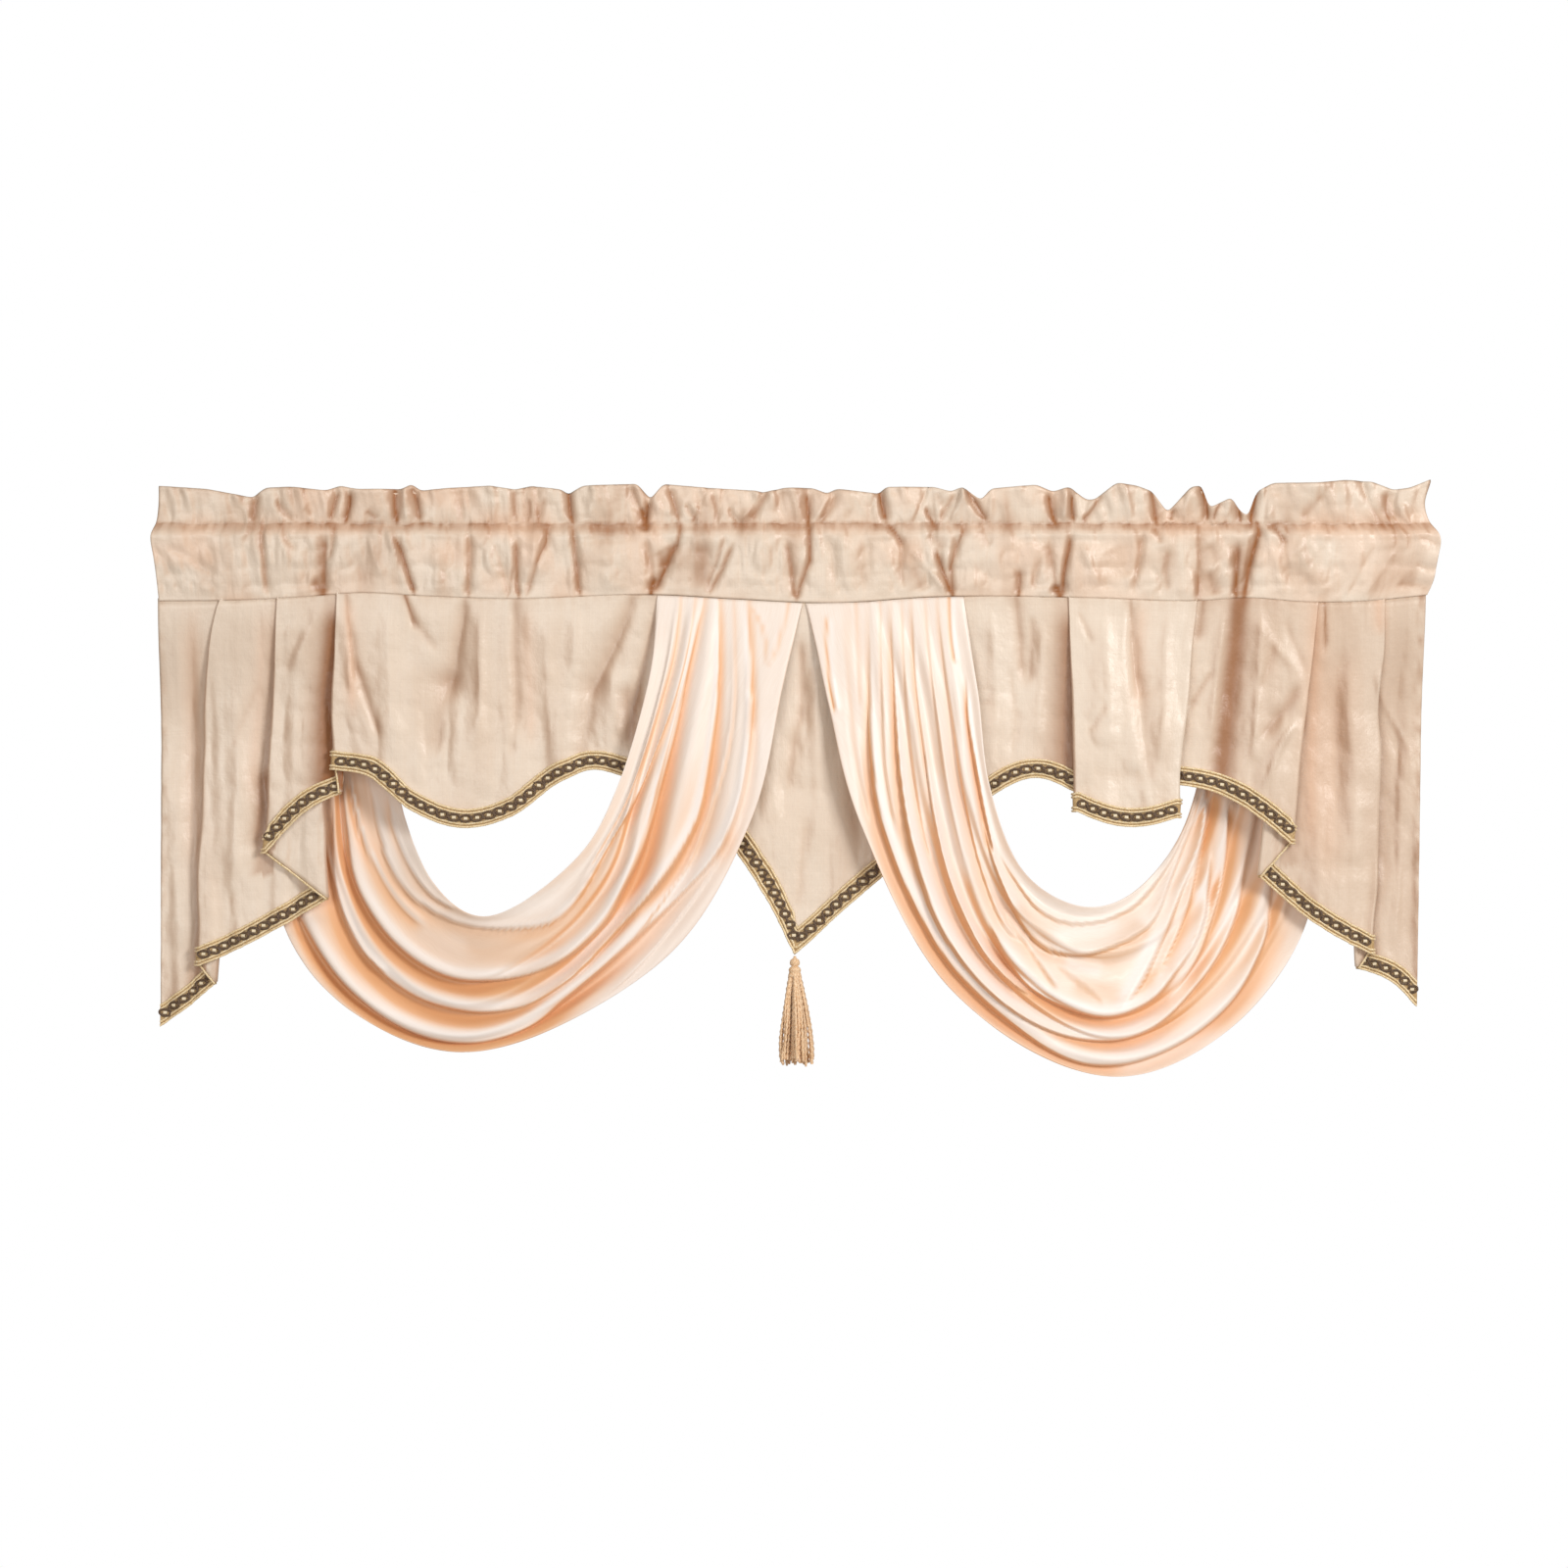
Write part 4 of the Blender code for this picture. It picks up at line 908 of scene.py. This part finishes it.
# Each fold by its hollow, as x and drop round from one end to the other, and its lip over the hollow.
LEFT_SWEEPS = rows(
    Sweep,
    (((-440, 250), (-438, 263), (-428, 309), (-415, 351), (-392, 381), (-357, 402), (-322, 412),
     (-282, 413), (-250, 408), (-230, 395), (-212, 373), (-186, 327), (-159, 280), (-140, 234), (-120, 180),
     (-107, 125), (-101, 80), (-100, 50)), 5, 7, 2.6, 0.34),
    (((-466, 230), (-465, 265), (-460, 315), (-454, 354), (-441, 386), (-416, 420), (-384, 447),
     (-347, 463), (-310, 466), (-275, 461), (-240, 448), (-214, 431), (-186, 403), (-170, 373), (-155, 342),
     (-142, 303), (-128, 246), (-117, 200), (-106, 145), (-96, 101), (-91, 75), (-88, 45)), 8, 10, 4.6,
     0.55),
    (((-474, 240), (-474, 295), (-474, 359), (-460, 407), (-432, 450), (-389, 482), (-346, 496),
     (-309, 499), (-270, 491), (-235, 471), (-210, 450), (-167, 403), (-140, 373), (-117, 342), (-97, 303),
     (-88, 265), (-81, 215), (-76, 165), (-75, 115), (-76, 77), (-76, 45)), 8, 10, 4.6, 0.55),
    (((-532, 340), (-523, 380), (-505, 410), (-484, 443), (-456, 475), (-418, 505), (-378, 523),
     (-340, 530), (-305, 527), (-265, 512), (-227, 483), (-190, 452), (-147, 413), (-109, 375), (-74, 334),
     (-53, 283), (-44, 225), (-43, 165), (-45, 115), (-48, 78), (-50, 45)), 9, 10, 4.8, 0.6),
    (((-459, 250), (-452, 290), (-440, 330), (-412, 380), (-375, 415)), 4, 6, 2.4, 0.30),
    (((-420, 270), (-412, 310), (-398, 345), (-372, 378), (-345, 395)), 3, 4, 2.0, 0.30),
    (((-484, 320), (-470, 380), (-448, 430), (-415, 462)), 4, 5, 2.4, 0.4),
    (((-225, 385), (-200, 340), (-172, 290), (-151, 235), (-132, 175), (-119, 120), (-114, 50)), 3, 4, 1.8,
     0.22),
    (((-150, 320), (-138, 270), (-124, 215), (-110, 160), (-100, 118), (-96, 60)), 3, 4, 1.4, 0.1),
    (((-175, 440), (-140, 395), (-108, 352), (-88, 305), (-68, 240), (-60, 180), (-60, 120), (-62, 50)), 3,
     5, 1.7, 0.12),
    (((-45, 80), (-30, 110), (-26, 148)), 3, 5, 2.4, 0.24),
    (((-26, 150), (-14, 115), (-6, 80), (-5, 50)), 3, 5, 2.4, 0.24),
    (((-200, 490), (-160, 455), (-118, 405), (-80, 352), (-48, 290)), 3, 5, 1.6, 0.04),
    (((-182, 512), (-152, 480), (-112, 432), (-70, 372), (-36, 300), (-16, 220)), 3, 4, 1.3, 0.03),
)
RIGHT_SWEEPS = rows(
    Sweep,
    (((76, 50), (76, 91), (76, 155), (77, 205), (79, 250), (83, 288), (96, 334), (115, 380), (142, 430),
     (173, 469), (215, 507), (254, 534), (292, 550), (331, 552), (369, 542), (408, 523), (442, 496),
     (465, 465), (485, 423), (490, 392), (494, 340)), 9, 10, 4.6, 0.55),
    (((99, 50), (99, 84), (99, 125), (102, 180), (106, 250), (115, 315), (131, 373), (146, 411),
     (169, 446), (200, 480), (238, 507), (277, 523), (315, 528), (346, 523), (377, 507), (408, 477),
     (435, 442), (454, 403), (462, 373), (468, 320)), 8, 9, 4.4, 0.55),
    (((120, 50), (120, 91), (123, 161), (133, 238), (142, 303), (154, 357), (173, 403), (192, 438),
     (220, 468), (250, 486)), 5, 8, 3.0, 0.25),
    (((196, 405), (202, 419), (215, 446), (238, 473), (269, 492), (308, 503), (338, 500), (369, 484),
     (392, 457), (412, 430), (423, 400), (427, 369), (431, 320)), 8, 9, 4.4, 0.6),
    (((147, 50), (147, 91), (153, 148), (163, 218), (175, 295), (190, 355), (210, 405), (235, 432)), 4, 6,
     2.2, 0.14),
    (((159, 50), (159, 75), (160, 113), (164, 145)), 3, 5, 3.2, 0.55),
    (((34, 90), (34, 115), (37, 161), (43, 195)), 3, 5, 3.4, 0.62),
    (((174, 150), (176, 193), (180, 224), (187, 265), (195, 305), (203, 340)), 4, 5, 3.0, 0.6),
    (((188, 290), (192, 311), (204, 353), (223, 396), (246, 427), (270, 438), (300, 439), (327, 431),
     (354, 418), (372, 400), (387, 365), (404, 323), (419, 288), (428, 255)), 6, 8, 3.4, 0.18),
    (((200, 320), (215, 350), (246, 392), (277, 407), (308, 407), (331, 400), (354, 386), (385, 348),
     (408, 300), (420, 265)), 4, 6, 2.2, 0.10),
    (((208, 390), (236, 430), (268, 476)), 4, 6, 1.3, 0.12),
    (((262, 446), (290, 468), (316, 490)), 4, 6, 1.0, 0.04),
    (((332, 497), (352, 475), (376, 430), (400, 373), (420, 325), (433, 265)), 9, 8, 3.0, 0.5),
    (((367, 470), (381, 445), (402, 400), (415, 350), (424, 300), (425, 255)), 7, 6, 2.2, 0.4),
    (((381, 490), (411, 450), (433, 395), (445, 340), (448, 280)), 7, 7, 2.4, 0.45),
    (((88, 50), (88, 110), (89, 180), (92, 250), (104, 320)), 3, 4, 1.4, 0.08),
    (((110, 50), (111, 130), (117, 220), (128, 300), (140, 350)), 3, 4, 1.5, 0.10),
    (((133, 50), (136, 120), (146, 210), (158, 290), (172, 350)), 3, 4, 1.5, 0.08),
    (((52, 50), (56, 150), (62, 230), (78, 310)), 3, 5, 1.5, 0.05),
    (((62, 50), (66, 120), (68, 190)), 3, 4, 1.3, 0.12),
)
# Stretches with painted highlights, and flat ones with painted grey shade.
LEFT_HIGHLIGHTS = rows(
    Crease,
    (-215, -525, -60, -330, 22, 0, 0.6), (-60, -330, -25, -200, 14, 0, 0.5),
    (-330, -392, -225, -385, 12, 0, 0.4), (-110, -250, -85, -85, 10, 0, 0.3),
)
RIGHT_HIGHLIGHTS = rows(
    Crease,
    (140, -250, 175, -360, 8, 0, 0.4), (330, -560, 440, -520, 9, 0, 0.3), (276, -446, 312, -458, 6, 0, 0.7),
    (262, -420, 330, -408, 7, 0, 0.5), (368, -420, 330, -490, 6, 0, 0.7),
)
# Stretches with painted grey shade.
LEFT_GREY_SHADES = rows(
    Crease,
    (-425, -365, -270, -440, 15, 0, 0.5), (-330, -430, -235, -430, 14, 0, 0.45),
    (-330, -480, -250, -470, 6, 0, 0.3), (-240, -505, -170, -455, 9, 0, 0.2),
)
RIGHT_GREY_SHADES = rows(
    Crease,
    (222, -392, 262, -434, 9, 0, 0.5), (358, -410, 314, -448, 12, 0, 0.5),
    (285, -470, 340, -482, 9, 0, 0.45), (120, -420, 170, -480, 8, 0, 0.20),
)

# The folds, the painted grey shade and the painted highlights, the painted warm shade of the low band
# and the seed of the ripples.
LEFT_LOOKS = (LEFT_SWEEPS, LEFT_GREY_SHADES, LEFT_HIGHLIGHTS, 0.32, 40)
RIGHT_LOOKS = (RIGHT_SWEEPS, RIGHT_GREY_SHADES, RIGHT_HIGHLIGHTS, 0.16, 50)


def make_swag(side, shape, looks):
    upper, lower, lines, swag_y = shape
    sweeps, grey_shades, painted_highlights, low_warm_shade, seed = looks
    t = np.linspace(0, 1, SWAG_STEPS)
    top = through(STATIONS, upper, t)
    foot = through(STATIONS, lower, t)
    shares = np.array([through(LINE_STATIONS, line[:5], t) for line in lines])
    out = np.array([line.out for line in lines])[:, None]
    depth = through(SWAG_DEPTH_AT, SWAG_FOLD_DEPTH, t)
    flat = top + shares[:, :, None] * (foot - top)
    near_seam = 1 - eased(flat[:, :, 1], PANEL_DROP, PANEL_DROP + OPENS_OVER / 2)
    drop = np.maximum(flat[:, :, 1], PANEL_DROP) + near_seam * seam_dip(flat[:, :, 0])
    deep = through(SWAG_DEPTH_AT, swag_y, t) + BASE_DEPTH * out * depth
    knots = np.stack([flat[:, :, 0], deep, -drop], axis=2)
    fine = np.linspace(0, len(lines) - 1, (len(lines) - 1) * ROWS_PER_LINE + 1)
    points = through(np.arange(len(lines)), knots.reshape(len(lines), -1), fine)
    points = points.reshape(len(fine), SWAG_STEPS, 3)
    x, y, z = points[:, :, 0], points[:, :, 1], points[:, :, 2]
    down = lengths_of(points, 0)
    along = lengths_of(points, 1)
    push, warm, lip_highlights = sweep_field(x, -z, sweeps)
    # Painted grey shade on flat stretches.
    _, grey_shade = fold_field(x, z, grey_shades, core_share=0)
    inside = eased(np.minimum(down, down[-1:] - down), 0, 7)
    y += push * (0.3 + 0.7 * inside) * np.clip(depth / 6, 0.25, 1)
    loose = eased(np.minimum(t, 1 - t), 0.0, 0.06)
    ripple = rumple(along / 150, down / 13, seed) * 0.8 + rumple(along / 60, down / 8, seed + 1) * 0.3
    points += normals_of(points) * (ripple * loose)[:, :, None]
    across = down / down[-1:]
    in_band = eased(across, 0.12, 0.32) * (1 - eased(across, 0.86, 0.98))
    # Painted warm shade in the low band.
    warm += low_warm_shade * eased(-z, 180, 420) * in_band
    # The far end lies in the shade of the cascade, painted warm.
    warm += 0.26 * eased(t, 0.68, 0.80) + 0.30 * eased(t, 0.84, 0.92)
    _, painted_highlight = fold_field(x, z, painted_highlights, core_share=0)
    out = normals_of(points)
    # The painted highlights fade on slopes that face away from the light.
    lip_highlights *= np.clip(1 + 2.2 * (out[:, :, 0] + 0.1), 0.1, 1)
    # Painted warm shade on slopes that face away from the light and on slopes that face down.
    glow = SATIN_GLOW * (0.45 + 0.9 * np.maximum(eased(-z, 180, 400), eased(t, 0.6, 0.8)))
    warm += glow * np.maximum(-out[:, :, 0] - 0.10, 0) * (1 - 0.6 * warm)
    warm += UNDER_GLOW * np.maximum(-out[:, :, 2] - 0.25, 0) * eased(-z, 300, 420)
    warm *= (1 - 0.7 * painted_highlight) * (1 - 0.7 * lip_highlights)
    warm = np.clip(warm, 0, 1)
    fields = {
        "warm": warm,
        "grey_shade": np.clip(1.25 * grey_shade, 0, 0.7) * (1 - 0.7 * warm),
        "painted_highlight": np.clip(0.85 * lip_highlights + 0.45 * painted_highlight, 0, 0.85),
    }
    made = cloth(f"{side}_swag_cloth", points, SATIN, fields=fields)
    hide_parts(f"{side}_swag")
    return made


# The tassel and the braid.

def line_lengths(line):
    """How far each point lies along a line."""
    return np.concatenate([[0], np.cumsum(np.linalg.norm(np.diff(line, axis=0), axis=1))])


def tubes(paths, radius, sides, twist=0.0, lobes=0, lobe_depth=0.0):
    """Verts and faces of round tubes along paths, each an array of points in millimetres."""
    all_verts, all_faces, start = [], [], 0
    angle = np.linspace(0, 2 * math.pi, sides, endpoint=False)
    for path in paths:
        path = np.asarray(path, float)
        tangent = np.gradient(path, axis=0)
        tangent /= np.maximum(np.linalg.norm(tangent, axis=1, keepdims=True), 1e-9)
        side = np.zeros_like(path)
        guide = np.array([0.0, 1.0, 0.0]) if abs(tangent[0][1]) < 0.9 else np.array([1.0, 0.0, 0.0])
        for i, along in enumerate(tangent):
            guide = guide - along * guide.dot(along)
            guide /= np.linalg.norm(guide)
            side[i] = guide
        other = np.cross(tangent, side)
        lobed = np.abs(np.sin(lobes / 2 * (angle[None, :] - twist * line_lengths(path)[:, None])))
        size = radius * (1 - lobe_depth * lobed)
        ring = side[:, None] * np.cos(angle)[:, None] + other[:, None] * np.sin(angle)[:, None]
        verts = path[:, None] + ring * size[:, :, None]
        faces = grid_faces(len(path), sides, wrap_columns=True) + start
        all_verts.append(verts.reshape(-1, 3))
        all_faces.append(faces)
        start += len(path) * sides
    return np.concatenate(all_verts), np.concatenate(all_faces)


# The tassel's place, and the outline of its head from the loop down, as radius and drop.
TASSEL_X = 1.0
TASSEL_Y = -2.6
TASSEL_PROFILE = ((0.4, 440.4), (1.3, 440.6), (1.7, 442.5), (4.2, 444.6), (4.9, 447.4), (4.4, 449.6),
                  (3.3, 450.8), (5.2, 452.6), (6.1, 455.0), (5.6, 457.2), (6.4, 459.4), (6.0, 461.4),
                  (0.4, 462.0))
HEAD_ROWS = 70
HEAD_SIDES = 72
HEAD_RIDGES = 18
SKIRT_DROP = 458.5
SKIRT_ROOT = 5.4
SKIRT_REACH = 17.6
STRANDS = 56
STRAND_POINTS = 48
STRAND_LENGTHS = (86, 92)
STRAND_RADIUS = 1.85
STRAND_SWAY = 2.6


def make_tassel():
    rng = np.random.default_rng(8)
    profile = np.array(TASSEL_PROFILE)
    fine = through(np.arange(len(profile)), profile, np.linspace(0, len(profile) - 1, HEAD_ROWS))
    angle = np.linspace(0, 2 * math.pi, HEAD_SIDES, endpoint=False)
    drop = fine[:, 1:2]
    radius = fine[:, :1] * (1 + 0.05 * np.cos(HEAD_RIDGES * angle[None, :] + drop * 0.35))
    around = (TASSEL_X + radius * np.cos(angle), TASSEL_Y + radius * np.sin(angle))
    verts = np.stack([*around, -np.broadcast_to(drop, radius.shape)], axis=2).reshape(-1, 3)
    head = mesh_from("tassel_head", verts, grid_faces(HEAD_ROWS, HEAD_SIDES, wrap_columns=True), TASSEL)
    paths = []
    f = np.linspace(0, 1, STRAND_POINTS)
    for _ in range(STRANDS):
        turn = rng.uniform(0, 2 * math.pi)
        spread = math.sqrt(rng.uniform(0.02, 1))
        root, reach = SKIRT_ROOT * spread, SKIRT_REACH * spread
        long = rng.uniform(*STRAND_LENGTHS) + 3 * math.cos(turn * 2 + 1)
        bulge = root + (reach - root) * np.sin(f * 1.75) ** 1.1
        sway = rng.uniform(-STRAND_SWAY, STRAND_SWAY, 4)
        x = TASSEL_X + bulge * np.cos(turn) + 2.5 * f + sway[0] * np.sin(f * 7 + sway[1] * 3) * f
        y = TASSEL_Y + bulge * np.sin(turn) + sway[2] * np.sin(f * 6 + sway[3] * 3) * f
        paths.append(np.stack([x, y, -SKIRT_DROP - long * f], axis=1))
    strands = tubes(paths, STRAND_RADIUS, 8, twist=0.5, lobes=2, lobe_depth=0.5)
    skirt = mesh_from("tassel_skirt", *strands, TASSEL)
    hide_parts("tassel")
    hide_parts("tassel")
    return [head, skirt]


BRAID_WIDTH = 20.0
BRAID_PAST_HEM = 3.0
RING_PITCH = 12.0
CORD_SHARES = (0.07, 0.23, 0.77, 0.93)
CORD_RADIUS = 1.5
CORD_STEP = 1.15
STRIP_OUT = 1.1
STRIP_THICK = 0.8
CORDS_OUT = 2.0
WRONG_SIDE_OUT = 0.9
LINKS_OUT = 2.6
RING_LONG = 5.7
RING_HIGH = 3.5
RING_WIRE = 1.25
KNOT_RADIUS = 1.15
BEAD_RADIUS = 1.7


def braid_lines():
    """The braid's upper edge, its lower edge, the way out of the cloth and where it turns, along the hem."""
    columns = panel_columns(1.0, 12)
    run = np.abs(np.diff(columns.hem_x))
    slope = np.abs(np.diff(columns.drop)) / np.maximum(run, 0.2)
    slope = np.where(run < 0.15, 0, np.minimum(slope, 1.9))
    steep = np.maximum(np.append(slope, slope[-1]), np.append(slope[0], slope))
    height = BRAID_WIDTH * np.sqrt(1 + steep ** 2)
    kernel = np.ones(5) / 5
    height = np.convolve(np.pad(height, 2, mode="edge"), kernel, mode="valid")
    length = columns.drop - PANEL_DROP - seam_dip(columns.seam_x)
    share = np.stack([1 - (part * height - BRAID_PAST_HEM) / length for part in (1, 0.5, 0)])
    lines, _, _ = panel_points(columns, share)
    out = normals_of(lines)[1]
    turned = np.abs(columns.layer - np.round(columns.layer)) > 0.001
    return lines[0], lines[2], out, turned


def resample(line, step):
    long = line_lengths(line)
    at = np.linspace(0, long[-1], max(2, round(long[-1] / step)))
    return np.stack([np.interp(at, long, line[:, k]) for k in range(3)], axis=1)


def make_braid():
    upper, lower, out, turned = braid_lines()
    across = np.linspace(0.02, 0.98, 4)[:, None, None]
    strip = upper * (1 - across) + lower * across + out * STRIP_OUT
    pieces = [cloth("braid_strip", strip, GROUND, thickness=STRIP_THICK)]
    cords = []
    for share in CORD_SHARES:
        cords.append(resample(upper * (1 - share) + lower * share + out * CORDS_OUT, CORD_STEP))
    middle = (upper + lower) / 2 + out * LINKS_OUT
    hem_edge = lower * 0.95 + upper * 0.05 - out * WRONG_SIDE_OUT
    path = np.concatenate([middle, lower - upper, out], axis=1)
    long = line_lengths(middle)
    rings, knots, beads = [], [], []
    turn = np.linspace(0, 2 * math.pi, 21)
    rng = np.random.default_rng(5)
    flips = np.flatnonzero(np.diff(turned.astype(int)))
    starts = [0] + [int(k) + 1 for k in flips[1::2]]
    ends = [int(k) for k in flips[0::2]] + [len(long) - 1]
    for run, (first, last) in enumerate(zip(starts, ends)):
        reach = long[last] - long[first]
        count = max(1, round(reach / RING_PITCH))
        hidden = run % 2
        if hidden:
            # The cloth's wrong side shows here, with a gold line along its edge.
            cords.append(resample(hem_edge[first:last + 1], CORD_STEP))
        for k in range(1 + 2 * hidden, 2 * count - 2 * hidden):
            at = long[first] + reach * k / (2 * count)
            here = np.array([np.interp(at, long, path[:, c]) for c in range(9)])
            down = here[3:6] / np.linalg.norm(here[3:6])
            outward = here[6:9] / np.linalg.norm(here[6:9])
            along = np.cross(outward, down)
            if k % 2:
                tilt, size = rng.uniform(-0.3, 0.3), rng.uniform(0.88, 1.06)
                ring = here[:3] + np.outer(np.cos(turn), along) * RING_LONG * size
                ring = ring + np.outer(np.sin(turn + tilt), down) * RING_HIGH
                rings.append(ring + np.outer(0.4 * np.cos(turn), outward))
                beads.append(here[:3] - outward * 0.1 + np.outer((-1.9, -0.7, 0.7, 1.9), along))
            else:
                lean = down * 0.9 + along * 0.5
                knots.append(here[:3] + outward * 0.5 + np.outer((-2.6, -1, 1, 2.6), lean))
    twisted = tubes(cords, CORD_RADIUS, 6, twist=1.2, lobes=2, lobe_depth=0.3)
    pieces.append(mesh_from("braid_cords", *twisted, GOLD))
    for name, paths, radius, sides, material in (
        ("braid_rings", rings, RING_WIRE, 7, BROWN),
        ("braid_knots", knots, KNOT_RADIUS, 8, BROWN),
        ("braid_beads", beads, BEAD_RADIUS, 8, CREAM),
    ):
        pieces.append(mesh_from(name, *tubes(paths, radius, sides), material))
    for piece in pieces:
        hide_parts("hem_braid")
    return pieces


# The object.

heading = make_heading()
panel = make_panel()
left_swag = make_swag("left", LEFT_SHAPE, LEFT_LOOKS)
right_swag = make_swag("right", RIGHT_SHAPE, RIGHT_LOOKS)
tassel = make_tassel()
braid = make_braid()

for slot, pieces in (("taffeta", (heading, panel)), ("satin", (left_swag, right_swag)), ("tassel", tassel),
                     ("braid", braid)):
    for piece in pieces:
        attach(piece, "root")


# Camera, floor and light.

def aim(obj, target):
    way = Vector(target) - obj.location
    obj.rotation_euler = way.to_track_quat("-Z", "Y").to_euler()


VIEW_CENTRE = (-0.010, 0.0, -0.265)
FRAME_WIDTH = 1.6
CAMERA_AWAY = 5.0
camera_data = bpy.data.cameras.new("camera")
camera_data.sensor_width = 36.0
camera_data.lens = 36.0 * CAMERA_AWAY / FRAME_WIDTH
camera = bpy.data.objects.new("camera", camera_data)
bpy.context.scene.collection.objects.link(camera)
camera.location = (VIEW_CENTRE[0], -CAMERA_AWAY, VIEW_CENTRE[2])
aim(camera, VIEW_CENTRE)
bpy.context.scene.camera = camera


def softbox(name, place, target, size, power):
    data = bpy.data.lights.new(name, "AREA")
    data.shape = "RECTANGLE"
    data.size, data.size_y = size
    data.energy = power
    made = bpy.data.objects.new(name, data)
    bpy.context.scene.collection.objects.link(made)
    made.location = place
    aim(made, target)


for light in (
    ("key", (2.55, -3.4, 1.1), (0, 0, -0.25), (1.3, 1.3), 103),
    ("front", (-1.2, -3.8, 0.2), (0, 0, -0.3), (1.8, 1.8), 40),
    ("top", (0.2, -0.9, 2.3), (0, 0, -0.3), (2.4, 0.8), 16),
):
    softbox(*light)

AMBIENT = 0.27
AMBIENT_COLOUR = (1.0, 0.81, 0.66, 1)
world = bpy.data.worlds.new("studio")
world.use_nodes = True
bpy.context.scene.world = world
tree = world.node_tree
background = tree.nodes["Background"]
seen = node(tree, "ShaderNodeLightPath").outputs["Is Camera Ray"]
feed(tree, background, {
    "Strength": ranged(tree, seen, 0, 1, AMBIENT, 1.0),
    "Color": mixed(tree, seen, AMBIENT_COLOUR, (1, 1, 1, 1)),
})

floor_made, floor_tree, floor_shader = new_material("studio_floor")
feed(floor_tree, floor_shader, {"Base Color": (0.86, 0.86, 0.86, 1), "Roughness": 0.8})
FLOOR_X = (-1500, 1500)
FLOOR_Y = (-1300, 1200)
FLOOR_Z = -1350
corners = [(FLOOR_X[i], FLOOR_Y[j], FLOOR_Z) for i, j in ((0, 0), (1, 0), (1, 1), (0, 1))]
floor = mesh_from("studio_floor", corners, [(0, 1, 2, 3)], floor_made)
bpy.context.scene.view_settings.view_transform = "Standard"
